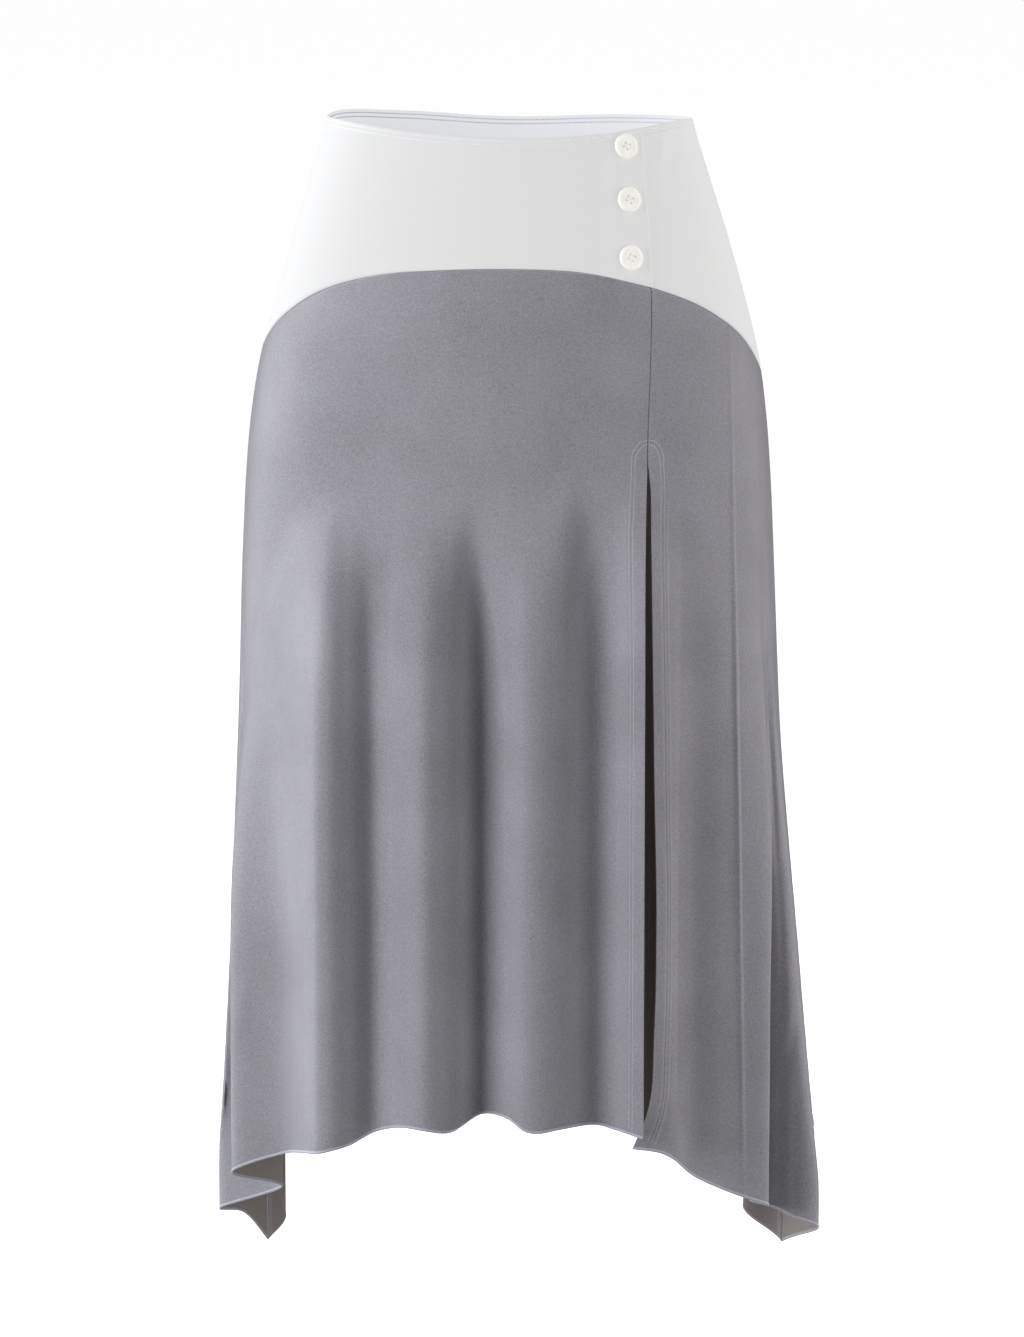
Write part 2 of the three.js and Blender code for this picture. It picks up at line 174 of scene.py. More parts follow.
LEFT_SEAM = "left side seam"
RIGHT_SEAM = "right side seam"
HEM = (
    HemPoint("slit edge", 38.1, 98.5, -120, -757, -243, 14),
    HemPoint("flank", 44, 117, -112, -763.5, -262, 8),
    HemPoint("valley", 49.5, 136, -100, -782.5, -280, 5),
    HemPoint("flat", 56.5, 157, -93.5, -794.5, -290, 5),
    HemPoint("crease", 63.5, 174, -88, -802.5, -300, 5),
    HemPoint("folded edge", 73, 194, -80, -811, -350, 5),
    HemPoint("tucked valley", 77, 182, -54, -815, -360, 5),
    HemPoint("dark flank", 80.5, 200, -56, -820, -400, 5),
    HemPoint("dark edge", 83, 212, -57, -826, -470, 5),
    HemPoint("side ridge", 86, 232, -50, -835, -740, 5),
    HemPoint(LEFT_SEAM, 90, 210, 38, -871, -450, 5),
    HemPoint("back valley", 97, 181, 60, -850, -340, 5),
    HemPoint("back ridge", 109, 207, 92, -836, -310, 5),
    HemPoint("back valley", 120, 162, 98, -822, -290, 5),
    HemPoint("back ridge", 132, 142, 130, -810, -280, 5),
    HemPoint("back valley", 143, 104, 114, -798, -280, 5),
    HemPoint("back ridge", 154, 76, 150, -791, -270, 5),
    HemPoint("back valley", 165, 40, 121, -786, -270, 5),
    HemPoint("back ridge", 177, 8, 154, -785, -275, 5),
    HemPoint("back valley", 189, -30, 120, -786, -280, 5),
    HemPoint("back ridge", 201, -66, 150, -790, -270, 5),
    HemPoint("back valley", 214, -102, 113, -797, -280, 5),
    HemPoint("back ridge", 228, -140, 128, -804, -290, 5),
    HemPoint("back valley", 241, -158, 94, -808, -300, 5),
    HemPoint("back ridge", 254, -203, 86, -832, -320, 5),
    HemPoint("inner turn", 265, -174, 57, -855, -400, 5),
    HemPoint(RIGHT_SEAM, 270, -187, 36, -869, -440, 5),
    HemPoint("inner flank", 272, -204, 19, -843, -500, 5),
    HemPoint("outer turn", 274.5, -222, 3, -836, -740, 5),
    HemPoint("tucked turn", 279, -173, -36, -808, -410, 5),
    HemPoint("folded edge", 285.5, -209, -75, -787, -420, 5),
    HemPoint("valley", 297, -169, -98, -766.5, -340, 5),
    HemPoint("flank", 308, -154, -125, -759, -285, 8),
    HemPoint("ridge", 316, -142, -143, -755, -272, 12),
    HemPoint("crown", 321, -133, -145.5, -752.5, -268, 14),
    HemPoint("shoulder", 327, -118, -138.5, -749.5, -265, 14),
    HemPoint("valley", 333, -101, -130, -742, -262, 14),
    HemPoint("flank", 338, -90, -134, -738, -264, 14),
    HemPoint("flank", 342, -78, -148, -734, -266, 14),
    HemPoint("ridge", 348, -63, -158, -734, -268, 14),
    HemPoint("shoulder", 352.5, -44, -147, -738, -265, 14),
    HemPoint("valley", 358, -20, -125, -729, -262, 14),
    HemPoint("flank", 363, -2, -137, -730, -262, 14),
    HemPoint("ridge", 369, 11, -148, -737, -262, 14),
    HemPoint("crown", 374, 21, -148, -738.5, -256, 14),
    HemPoint("shoulder", 378, 37, -140, -737.5, -245, 14),
    HemPoint("valley", 383.5, 64, -121, -738.5, -230, 9),
    HemPoint("flank", 389, 77, -126, -741, -228, 12),
    HemPoint("flank", 393.5, 87.5, -136, -742, -236, 14),
    HemPoint("slit edge", 398.1, 98.5, -143, -744, -243, 14),
)

SLIT_GAPS = (
    SlitGap(-241, 0),
    SlitGap(-262, 2.4),
    SlitGap(-300, 3.8),
    SlitGap(-390, 5.8),
    SlitGap(-470, 7),
    SlitGap(-590, 9.2),
    SlitGap(-665, 7.8),
    SlitGap(-732, 2),
    SlitGap(-760, -9),
)

# Small creases and dents. The side fold's first dip runs over the side seam, so both tables have it.
FRONT_CREASES = (
    Crease("hip dimple", -172, -415, 25, 9, 2.2, -0.9),
    Crease("low left drag line", -198, -650, 14, 30, 2.4, 0.8),
    Crease("low left drag line", -193, -672, 22, 18, 2.0, -0.6),
    Crease("side front dent", 212, -690, 10, 22, 4.0, -0.7),
    Crease("pressed crease", 169, -520, -1.2, 300, 1.5, 1.5),
    Crease("side fold's edge", 194, -440, -3, 120, 3, -2.2),
    Crease("side fold's first dip", 206, -410, -3, 130, 11, -3.4),
    Crease("yoke gather", 111, -19, 3, 17, 2.6, 0.35),
    Crease("yoke gather", 119, -20, 5, 15, 2.2, -0.3),
    Crease("yoke gather", 126, -21, 7, 14, 2.4, 0.3),
)
BACK_CREASES = (
    Crease("seat drag line", 62, -262, -38, 34, 5.0, -0.8),
    Crease("seat drag line", -70, -270, 34, 30, 5.0, -0.7),
    Crease("back dimple", 96, -470, 20, 12, 2.6, -0.8),
    Crease("side fold's first dip", 206, -410, -3, 130, 11, -3.4),
)


def clamp01(value: Array) -> Array:
    """Values held between 0 and 1."""
    return np.clip(value, 0.0, 1.0)


def ease(value: Array) -> Array:
    """Soft step from 0 to 1, with level ends."""
    value = clamp01(value)
    return value * value * (3 - 2 * value)


def mix(start: Array, end: Array, part: Array) -> Array:
    """Values part of the way from start to end."""
    return start + (end - start) * part


def unit(vectors: Array) -> Array:
    """Vectors brought to length one."""
    length = np.linalg.norm(vectors, axis=-1, keepdims=True)
    return vectors / np.maximum(length, 1e-12)


def run_length(points: Array) -> Array:
    """Distance of each point of a line from its first one, along the line."""
    steps = np.linalg.norm(np.diff(points, axis=0), axis=1)
    return np.concatenate(([0.0], np.cumsum(steps)))


def sampled(places: Array, run: Array, rows: Array) -> Array:
    """Rows of values along a line, read at other places of it."""
    return np.stack([np.interp(places, run, column) for column in rows.T], axis=-1)


@dataclass(frozen=True)
class TableCurve:
    """Smooth curve through the rows of a table.

    Attributes:
        rows: the table's rows, each a named tuple.
        knots: place of each row along the curve.
        corners: rows where the corner column keeps a sharp turn.
        corner_key: the column that turns sharply there.
    """

    rows: tuple
    knots: Array
    corners: tuple[int, ...] = ()
    corner_key: str = ""

    def _slopes(self, values: Array, key: str) -> tuple[Array, Array]:
        """Slopes of a column at its rows.

        Args:
            values: the column.
            key: its name.

        Returns:
            The slope that leaves each row, and the one that reaches it.
        """
        rise = np.diff(values) / np.diff(self.knots)
        wide = (values[2:] - values[:-2]) / (self.knots[2:] - self.knots[:-2])
        slope = np.concatenate(([rise[0]], rise[1:] - wide + rise[:-1], [rise[-1]]))
        leaving = slope.copy()
        reaching = slope.copy()
        if key == self.corner_key:
            for corner in self.corners:
                leaving[corner] = rise[corner]
                reaching[corner] = rise[corner - 1]
        return leaving, reaching

    def at(self, key: str, position: Array) -> Array:
        """Value of a column at places along the curve.

        Args:
            key: the column's name.
            position: places, on the scale of the knots.

        Returns:
            The column's values there.
        """
        values = np.array([getattr(row, key) for row in self.rows], dtype=float)
        leaving, reaching = self._slopes(values, key)
        place = np.clip(position, self.knots[0], self.knots[-1])
        i = np.clip(np.searchsorted(self.knots, place) - 1, 0, len(self.knots) - 2)
        span = self.knots[i + 1] - self.knots[i]
        t = (place - self.knots[i]) / span
        start = values[i]
        end = values[i + 1]
        bow = leaving[i] * span * (1 - t) - reaching[i + 1] * span * t + (end - start) * (2 * t - 1)
        return mix(start, end, t) + t * (1 - t) * bow


def falling_curve(rows: tuple) -> TableCurve:
    """Curve through a table whose rows go down, with the drop from its first row as the scale."""
    return TableCurve(rows, np.array([rows[0].z - row.z for row in rows], dtype=float))


def hem_curve() -> TableCurve:
    """Curve along the hem, with the root of the distance in plan as the scale.

    Returns:
        The hem's curve, with a corner at each side seam.
    """
    plan = np.array([(row.x, row.y) for row in HEM], dtype=float)
    steps = np.sqrt(np.linalg.norm(np.diff(plan, axis=0), axis=1))
    corners = tuple(i for i, row in enumerate(HEM) if row.fold in (LEFT_SEAM, RIGHT_SEAM))
    return TableCurve(HEM, np.concatenate(([0.0], np.cumsum(steps))), corners, "z")


SECTION_CURVE = falling_curve(SECTIONS)
GAP_CURVE = falling_curve(SLIT_GAPS)
EDGE_CURVE = TableCurve(YOKE_EDGES, np.array([row.turn for row in YOKE_EDGES], dtype=float))
HEM_CURVE = hem_curve()


class Body:
    """The smooth body under the cloth, in level sections."""

    @staticmethod
    def section(key: str, z: Array) -> Array:
        """One size of the section at a height."""
        return SECTION_CURVE.at(key, SECTIONS[0].z - np.asarray(z, dtype=float))

    @classmethod
    def angle(cls, turn: Array, z: Array) -> Array:
        """Angle round the section for a column of the yoke seam.

        Args:
            turn: turns on the yoke seam, in degrees.
            z: heights.

        Returns:
            Angles in degrees, which keep the slit on its own line.
        """
        wrapped = np.where(turn > RIGHT_SEAM_TURN, turn - FULL_TURN, turn)
        reach = (cls.section("slit_x", z) - cls.section("middle", z)) / cls.section("half_width", z)
        slit = np.degrees(np.arcsin(reach))
        left_part = (wrapped - SLIT_TURN) / (LEFT_SEAM_TURN - SLIT_TURN)
        front_part = (wrapped + LEFT_SEAM_TURN) / (SLIT_TURN + LEFT_SEAM_TURN)
        left = mix(slit, LEFT_SEAM_TURN, left_part)
        front = mix(-LEFT_SEAM_TURN, slit, front_part)
        return np.where(wrapped > LEFT_SEAM_TURN, wrapped, np.where(wrapped > SLIT_TURN, left, front))

    @classmethod
    def point(cls, angle: Array, z: Array, lift: Array = 0.0) -> Array:
        """Points of the body.

        Args:
            angle: angles round the section, in degrees.
            z: heights.
            lift: distance moved out.

        Returns:
            The points, with x, y and z last.
        """
        a = np.radians(angle)
        x = cls.section("middle", z) + (cls.section("half_width", z) + lift) * np.sin(a)
        y = -(cls.section("half_depth", z) + lift) * np.cos(a)
        return np.stack(np.broadcast_arrays(x, y, z), axis=-1)


@dataclass(frozen=True)
class RowPlan:
    """Rows of a cloth from its top edge to its foot, crowded at both.

    Attributes:
        top: distances of the first rows below the top edge.
        foot: distances of the last rows above the foot, from the highest down.
        middle: number of even steps between them.
    """

    top: tuple[float, ...]
    foot: tuple[float, ...]
    middle: int

    def heights(self, top: Array, foot: Array) -> Array:
        """Height of every row at every column.

        Args:
            top: height of the top edge at each column.
            foot: height of the foot at each column.

        Returns:
            Heights, row by column.
        """
        rows = [top - drop for drop in self.top]
        start = rows[-1]
        end = foot + self.foot[0]
        rows += [mix(start, end, k / self.middle) for k in range(1, self.middle)]
        rows += [foot + rise for rise in self.foot]
        return np.stack(rows)


@dataclass
class Grid:
    """A cut panel's points row by row, with their distances to its four edges, all in mm."""

    points: Array
    normals: Array
    from_first: Array
    from_last: Array
    below: Array
    above: Array

    @property
    def heights(self) -> Array:
        """Height of every point."""
        return self.points[..., 2]

    def nearest_edge(self) -> Array:
        """Distance of every point to the nearest edge."""
        sides = np.minimum(self.from_first, self.from_last)
        return np.minimum(sides, np.minimum(self.below, self.above))

    def moved(self, lift: Array) -> Grid:
        """Moves the grid out along its own directions.

        Args:
            lift: distance for each point.

        Returns:
            The moved grid, with the directions of its new shape.
        """
        points = self.points + self.normals * lift[..., None]
        normals = grid_normals(points)
        return Grid(points, normals, self.from_first, self.from_last, self.below, self.above)

    def locate(self, side: str, distance: float, height: float) -> tuple[Array, Array]:
        """Place on the cloth at a distance from a side edge and at a height.

        Args:
            side: from_first or from_last.
            distance: distance from that edge.
            height: height of the place.

        Returns:
            The point and the outward direction there.
        """
        away = getattr(self, side)
        if side == "from_last":
            away = away[:, ::-1]
        rows = []
        for i, row in enumerate(away):
            both = np.concatenate((self.points[i], self.normals[i]), axis=1)
            if side == "from_last":
                both = both[::-1]
            k = int(np.clip(np.searchsorted(row, distance), 1, len(row) - 1))
            part = (distance - row[k - 1]) / (row[k] - row[k - 1])
            rows.append(mix(both[k - 1], both[k], part))
        line = np.array(rows)[::-1]
        k = int(np.clip(np.searchsorted(line[:, 2], height), 1, len(line) - 1))
        part = (height - line[k - 1, 2]) / (line[k, 2] - line[k - 1, 2])
        place = mix(line[k - 1], line[k], part)
        return place[:3], unit(place[3:])


def grid_normals(points: Array) -> Array:
    """Outward directions of a grid whose rows go down and whose columns go round to the left.

    Args:
        points: the grid's points.

    Returns:
        A direction for each point.
    """
    down = np.gradient(points, axis=0)
    across = np.gradient(points, axis=1)
    return unit(np.cross(down, across))


@dataclass
class Ring:
    """Cloth drawn finely all the way round, from which the panels are cut."""

    points: Array
    below: Array
    above: Array
    normals: Array = field(init=False)

    def __post_init__(self) -> None:
        """Works out the directions once for the whole ring, so that panels turn alike at a seam."""
        self.normals = grid_normals(self.points)

    def cut(self, first: int, last: int, first_band: Band, last_band: Band, steps: int) -> Grid:
        """Cuts a panel out, with its columns crowded at each side edge.

        Args:
            first: ring column of its first edge.
            last: ring column of its last edge.
            first_band: distances of the columns near the first edge.
            last_band: the same for the last edge.
            steps: number of even steps between the bands.

        Returns:
            The panel's grid, drawn in by half of the cloth gap at each side.
        """
        part = slice(first, last + 1)
        columns = np.concatenate(
            (
                self.points[:, part],
                self.normals[:, part],
                self.below[:, part, None],
                self.above[:, part, None],
            ),
            axis=2,
        )
        even = np.linspace(0.0, 1.0, steps + 1)[1:-1]
        fine = np.linspace(0.0, 1.0, last - first + 1)
        rows = []
        sides = []
        for row in columns:
            run = run_length(row[:, :3])
            low = CLOTH_GAP / 2
            high = run[-1] - CLOTH_GAP / 2
            near = low + np.array(first_band)
            far = high - np.array(last_band)[::-1]
            inside = np.interp(even, fine, run) / run[-1]
            targets = np.concatenate((near, mix(near[-1], far[0], inside), far))
            rows.append(sampled(targets, run, row))
            sides.append((targets - low, high - targets))
        grid = np.array(rows)
        away = np.array(sides)
        return Grid(
            grid[..., :3], unit(grid[..., 3:6]), away[:, 0], away[:, 1], grid[..., 6], grid[..., 7]
        )


# Distances from an edge at which the cloth has its first columns and rows
SEAM_BAND: Band = (0.0, 0.12, 0.35, 0.8, 1.5, 2.6)
HEMMED_BAND: Band = (
    0.0, 0.12, 0.3, 0.6, 1.1, 2.0, 3.5, 5.5, 7.4, 8.6,
    9.3, 9.8, 10.3, 11.2, 12.2, 12.8, 13.4, 14.2, 15.2, 17.0,
)
SKIRT_ROWS = RowPlan((0.0, 0.12, 0.35, 0.8, 1.5, 2.4, 3.8), (3.4, 2.2, 1.4, 0.8, 0.35, 0.12, 0.0), 158)
YOKE_ROWS = RowPlan(
    (0.0, 0.12, 0.35, 0.8, 1.6, 2.4, 3.2, 4.2, 5.5, 6.3, 7.1, 8.2),
    (7.0, 5.6, 4.4, 3.4, 2.4, 1.5, 0.8, 0.35, 0.12, 0.0),
    34,
)


def loop_positions() -> Array:
    """Spaces the ring's columns along the hem curve, a fixed number for each row of the table.

    Returns:
        The columns' places.
    """
    knots = HEM_CURVE.knots
    steps = [
        np.linspace(knots[i], knots[i + 1], LOOP_STEPS_PER_ROW, endpoint=False)
        for i in range(len(knots) - 1)
    ]
    return np.concatenate((*steps, [knots[-1]]))


def ring_column(fold: str) -> int:
    """Ring column of a named fold of the hem."""
    return [row.fold for row in HEM].index(fold) * LOOP_STEPS_PER_ROW


def skirt_ring() -> Ring:
    """The skirt's cloth all round: on the body at the hip, and hanging to its place at the hem.

    Returns:
        The ring, from the yoke seam to the hem.
    """
    position = loop_positions()
    keys = ("turn", "x", "y", "z", "start", "haste")
    turn, x, y, foot, start, haste = (HEM_CURVE.at(key, position) for key in keys)
    top = EDGE_CURVE.at("seam", turn) - SEAM_GAP / 2
    z = SKIRT_ROWS.heights(top, foot)
    turns = np.broadcast_to(turn, z.shape)
    fall = clamp01((start - z) / (start - foot))
    opened = 1 - (1 - fall) ** haste * (1 + haste * fall)
    hung = np.stack(np.broadcast_arrays(x, y, z), axis=-1)
    points = mix(Body.point(Body.angle(turns, z), z), hung, opened[..., None])
    gap = GAP_CURVE.at("gap", SLIT_GAPS[0].z - z)
    points[..., 0] += gap * clamp01(1 - (turns - SLIT_TURN) / SLIT_FADE_TURN)
    return Ring(points, top - z, z - foot)


def yoke_ring(turn: Array, lift: Array) -> Ring:
    """The yoke's cloth on the body.

    Args:
        turn: turns of its columns.
        lift: distance that each column stands out from the body.

    Returns:
        The ring, from the waist edge to the yoke seam.
    """
    top = EDGE_CURVE.at("waist", turn)
    foot = EDGE_CURVE.at("seam", turn) + SEAM_GAP / 2
    z = YOKE_ROWS.heights(top, foot)
    turns = np.broadcast_to(turn, z.shape)
    return Ring(Body.point(Body.angle(turns, z), z, lift), top - z, z - foot)


def trough(distance: Array, width: float, depth: float) -> Array:
    """A soft groove of a depth, centred where the distance is nought."""
    return -depth * np.exp(-((distance / width) ** 2))


def turned_in(distance: Array, reach: float, depth: float) -> Array:
    """How far cloth turns in towards a seam, most at the seam itself."""
    return -depth * clamp01(1 - distance / reach) ** 2


def crease_lift(points: Array, creases: tuple[Crease, ...]) -> Array:
    """Lift that the small creases give to a cloth.

    Args:
        points: the cloth's points.
        creases: rows of the crease tables.

    Returns:
        Lift at each point.
    """
    lift = np.zeros(points.shape[:-1])
    for crease in creases:
        lean = math.radians(crease.lean)
        dx = points[..., 0] - crease.x
        dz = points[..., 2] - crease.z
        along = dz * math.cos(lean) + dx * math.sin(lean)
        aside = dx * math.cos(lean) - dz * math.sin(lean)
        spread = np.exp(-((along / crease.length) ** 2) - (aside / crease.width) ** 2)
        lift += crease.depth * spread
    return lift


def handmade(points: Array, size: float) -> Array:
    """Slow unevenness of cloth that hangs free, from a few crossed waves.

    Args:
        points: the cloth's points.
        size: greatest lift.

    Returns:
        Lift at each point.
    """
    x, y, z = np.moveaxis(points, -1, 0)
    waves = (
        np.sin(x / 23 + z / 61 + 0.4) * np.sin(z / 47 - y / 31)
        + 0.6 * np.sin(x / 11 - z / 83 + 1.9) * np.sin(z / 29 + y / 19 + 0.7)
    )
    return size * waves / 1.6


class NodeTree:
    """Adds nodes to a material or world and links them."""

    def __init__(self, tree: bpy.types.NodeTree) -> None:
        """Empties the tree.

        Args:
            tree: the tree to fill.
        """
        self.tree = tree
        tree.nodes.clear()

    def add(self, kind: str, inputs: dict | None = None, **settings: object) -> bpy.types.Node:
        """Adds a node.

        Args:
            kind: its type name.
            inputs: values of its sockets, or sockets to link to them, by name or number.
            **settings: its own settings.

        Returns:
            The node.
        """
        node = self.tree.nodes.new(kind)
        for key, value in settings.items():
            setattr(node, key, value)
        for key, value in (inputs or {}).items():
            if isinstance(value, bpy.types.NodeSocket):
                self.tree.links.new(value, node.inputs[key])
            else:
                node.inputs[key].default_value = value
        return node

    def noise(self, size: float, **inputs: object) -> bpy.types.NodeSocket:
        """Adds noise whose grain has a size in metres, and gives its value."""
        place = self.add("ShaderNodeTexCoord").outputs["Object"]
        return self.add("ShaderNodeTexNoise", {"Vector": place, "Scale": 1 / size, **inputs}).outputs[0]

    def bump(self, strength: float, distance: float, height: bpy.types.NodeSocket) -> bpy.types.NodeSocket:
        """Adds a bump of a distance in metres, and gives its directions."""
        inputs = {"Strength": strength, "Distance": distance, "Height": height}
        return self.add("ShaderNodeBump", inputs).outputs[0]

    def surface(self, inputs: dict) -> None:
        """Adds the surface with the values of its sockets, and ends the material with it."""
        shader = self.add("ShaderNodeBsdfPrincipled", inputs)
        self.add("ShaderNodeOutputMaterial", {0: shader.outputs[0]})

    def maths(self, operation: str, first: object, second: object = 0.0) -> bpy.types.NodeSocket:
        """Adds a maths node and gives its result."""
        return self.add("ShaderNodeMath", {0: first, 1: second}, operation=operation).outputs[0]

    def ramp(self, value: bpy.types.NodeSocket, stops: tuple) -> bpy.types.NodeSocket:
        """Adds a colour ramp.

        Args:
            value: what it reads.
            stops: places and colours, in order.

        Returns:
            Its colour.
        """
        node = self.add("ShaderNodeValToRGB", {0: value})
        elements = node.color_ramp.elements
        while len(elements) < len(stops):
            elements.new(0.5)
        for element, (place, colour) in zip(elements, stops):
            element.position = place
            element.color = (*colour, 1.0)
        return node.outputs[0]


def linear(colour: Colour) -> Colour:
    """A screen colour from 0 to 255 as a linear one from 0 to 1."""
    return tuple((c / 255 / 12.92) if c <= 10 else ((c / 255 + 0.055) / 1.055) ** 2.4 for c in colour)


def shaded(colour: Colour, part: float) -> Colour:
    """A colour made lighter or darker by a part of itself."""
    return tuple(channel * part for channel in colour)


def new_material(name: str) -> tuple[bpy.types.Material, NodeTree]:
    """Makes a material with an empty node tree.

    Args:
        name: the material's name.

    Returns:
        The material, and its nodes.
    """
    material = bpy.data.materials.new(name)
    material.use_nodes = True
    return material, NodeTree(material.node_tree)


@dataclass(frozen=True)
class Jersey:
    """Finish of a fine knit.

    Attributes:
        name: the material's name.
        colour: its screen colour, 0 to 255.
        speck: how much lighter and darker its yarns are.
        sheen: strength of the soft glow at a glancing angle.
        sheen_colour: tint of that glow.
        roughness: roughness of the surface.
        knit_height: height of the stitches.
        glow: share of its brightness that is painted glow: an even emission, though the cloth is no lamp, in
            place of light falling on it.
    """

    name: str
    colour: Colour
    speck: float
    sheen: float
    sheen_colour: Colour
    roughness: float
    knit_height: float
    glow: float = 0.0

    WALE = 0.75 * MM
    COURSE = 0.62 * MM
    SPECK_SIZE = 1.1 * MM
    CLOUD_SIZE = 60 * MM

    # How bright the painted glow is: emitted light, even all over, in place of light that falls on the cloth
    PAINTED_GLOW_LEVEL = 0.92

    def _stitches(self, tree: NodeTree) -> bpy.types.NodeSocket:
        """Height of the knit: columns of small V-shaped stitches.

        Args:
            tree: the material's nodes.

        Returns:
            A height from 0 to 1.
        """
        place = tree.add("ShaderNodeUVMap", uv_map="cloth").outputs[0]
        parts = tree.add("ShaderNodeSeparateXYZ", {0: place})
        wale = tree.maths("MULTIPLY", parts.outputs[0], math.pi / self.WALE)
        column = tree.maths("ABSOLUTE", tree.maths("SINE", wale))
        course = tree.maths("MULTIPLY", parts.outputs[1], 2 * math.pi / self.COURSE)
        slanted = tree.maths("ADD", course, tree.maths("MULTIPLY", column, 2.2))
        row = tree.maths("MULTIPLY", tree.maths("SINE", slanted), 0.3)
        return tree.maths("ADD", tree.maths("MULTIPLY", column, 0.7), row)

    def material(self) -> bpy.types.Material:
        """The finished material.

        Returns:
            A node-based material with yarn flecks, slow clouding, knit relief, sheen and, where glow is set,
            a painted glow.
        """
        material, tree = new_material(self.name)
        fleck = tree.noise(self.SPECK_SIZE, Detail=2.0)
        cloud = tree.noise(self.CLOUD_SIZE, Detail=1.0)
        tone = tree.maths("ADD", fleck, tree.maths("MULTIPLY", cloud, 0.35))
        own = linear(self.colour)
        # The base is dimmed by the share that the painted glow gives back as even emitted light
        base = shaded(own, 1 - self.glow)
        low = shaded(base, 1 - self.speck)
        high = shaded(base, 1 + self.speck)
        colour = tree.ramp(tone, ((0.42, low), (0.93, high)))
        relief = tree.maths("ADD", self._stitches(tree), tree.maths("MULTIPLY", fleck, 1.2))
        tree.surface({
            "Base Color": colour,
            "Roughness": self.roughness,
            "Specular IOR Level": 0.25,
            "Sheen Weight": self.sheen,
            "Sheen Roughness": 0.3,
            "Sheen Tint": (*self.sheen_colour, 1.0),
            "Emission Color": (*own, 1.0),
            # Painted glow: emission in place of light falling on the cloth
            "Emission Strength": self.PAINTED_GLOW_LEVEL * self.glow,
            "Normal": tree.bump(0.6, self.knit_height * MM, relief),
        })
        return material


@dataclass(frozen=True)
class SewingThread:
    """Finish of spun thread, in stitches and in the wrapped hem.

    Attributes:
        name: the material's name.
        colour: its screen colour, 0 to 255.
    """

    name: str
    colour: Colour

    TWIST_SIZE = 0.6 * MM
    TWIST_DEPTH = 0.1 * MM

    def material(self) -> bpy.types.Material:
        """The finished material.

        Returns:
            A node-based material with the thread's fine twist.
        """
        material, tree = new_material(self.name)
        twist = tree.noise(self.TWIST_SIZE)
        base = linear(self.colour)
        colour = tree.ramp(twist, ((0.3, shaded(base, 0.82)), (0.7, shaded(base, 1.12))))
        tree.surface({
            "Base Color": colour,
            "Roughness": 0.6,
            "Sheen Weight": 0.3,
            "Normal": tree.bump(0.5, self.TWIST_DEPTH, twist),
        })
        return material


@dataclass(frozen=True)
class ButtonResin:
    """Finish of the cast resin buttons, with faint pearly streaks.

    Attributes:
        name: the material's name.
        colour: its screen colour, 0 to 255.
        streak: the darker streaks' screen colour.
    """

    name: str
    colour: Colour
    streak: Colour

    STREAK_SIZE = 9 * MM
    # Share of the button's brightness that is painted glow, an even emission in place of light falling on it
    PAINTED_GLOW = 0.55

    def material(self) -> bpy.types.Material:
        """The finished material.

        Returns:
            A node-based material with stretched streaks, a soft polish and a painted glow that brightens it
            evenly, though it is no lamp.
        """
        material, tree = new_material(self.name)
        place = tree.add("ShaderNodeTexCoord").outputs["Object"]
        leant = tree.add(
            "ShaderNodeMapping", {"Vector": place, "Rotation": (0.0, 0.75, 0.0), "Scale": (3.2, 1.0, 0.8)}
        )
        cloud = tree.add(
            "ShaderNodeTexNoise",
            {"Vector": leant.outputs[0], "Scale": 1 / self.STREAK_SIZE, "Detail": 3.0, "Distortion": 0.6},
        )
        pale = linear(self.colour)
        body = shaded(pale, 1 - self.PAINTED_GLOW)
        streak = shaded(linear(self.streak), 1 - self.PAINTED_GLOW)
        colour = tree.ramp(cloud.outputs[0], ((0.35, streak), (0.5, body), (0.62, body)))
        tree.surface({
            "Base Color": colour,
            "Roughness": 0.6,
            "Specular IOR Level": 0.2,
            "Emission Color": (*pale, 1.0),
            "Emission Strength": self.PAINTED_GLOW,
            "Subsurface Weight": 0.15,
            "Subsurface Radius": (1.0, 0.8, 0.6),
            "Subsurface Scale": 1.5 * MM,
        })
        return material


GREY_FACE = Jersey("grey_jersey", (138, 137, 143), 0.24, 1.0, (0.93, 0.92, 1.0), 0.78, 0.2)
# The inner side is the duller wrong side of the same jersey, and its warmer tint is painted shade: the
# brownish shade inside the skirt
GREY_BACK = Jersey("grey_jersey_inside_warm_shade", (146, 138, 135), 0.1, 0.4, (0.9, 0.9, 1.0), 0.9, 0.16)
# The white jersey glows as painted light: on its face the glow flattens its light and shade, and on its
# inner side it gives nearly all of the brightness, a painted light for the inside of the back yoke
WHITE_FACE = Jersey("white_jersey", (226, 226, 226), 0.015, 0.1, (1.0, 1.0, 1.0), 0.85, 0.07, 0.7)
WHITE_BACK = Jersey("white_jersey_inside_painted_glow", (235, 236, 239), 0.015, 0.1, (1.0, 1.0, 1.0), 0.9, 0.07, 0.86)
GREY_THREAD = SewingThread("grey_thread", (158, 158, 170))
SEAM_THREAD = SewingThread("grey_seam_thread", (180, 180, 187))
WHITE_THREAD = SewingThread("white_thread", (236, 237, 240))
COOL_THREAD = SewingThread("cool_white_thread", (184, 189, 206))
BUTTON_THREAD = SewingThread("button_thread", (246, 246, 244))
# Thread in the button holes, its darker and warmer colour painted shade in the holes
SHADED_THREAD = SewingThread("thread_in_the_holes_painted_shade", (206, 188, 158))
IVORY_RESIN = ButtonResin("ivory_resin", (246, 244, 239), (240, 236, 229))


class Slot(Enum):
    """The record's material slots."""

    GREY = "grey_jersey"
    WHITE = "white_jersey"
    IVORY = "ivory_button"


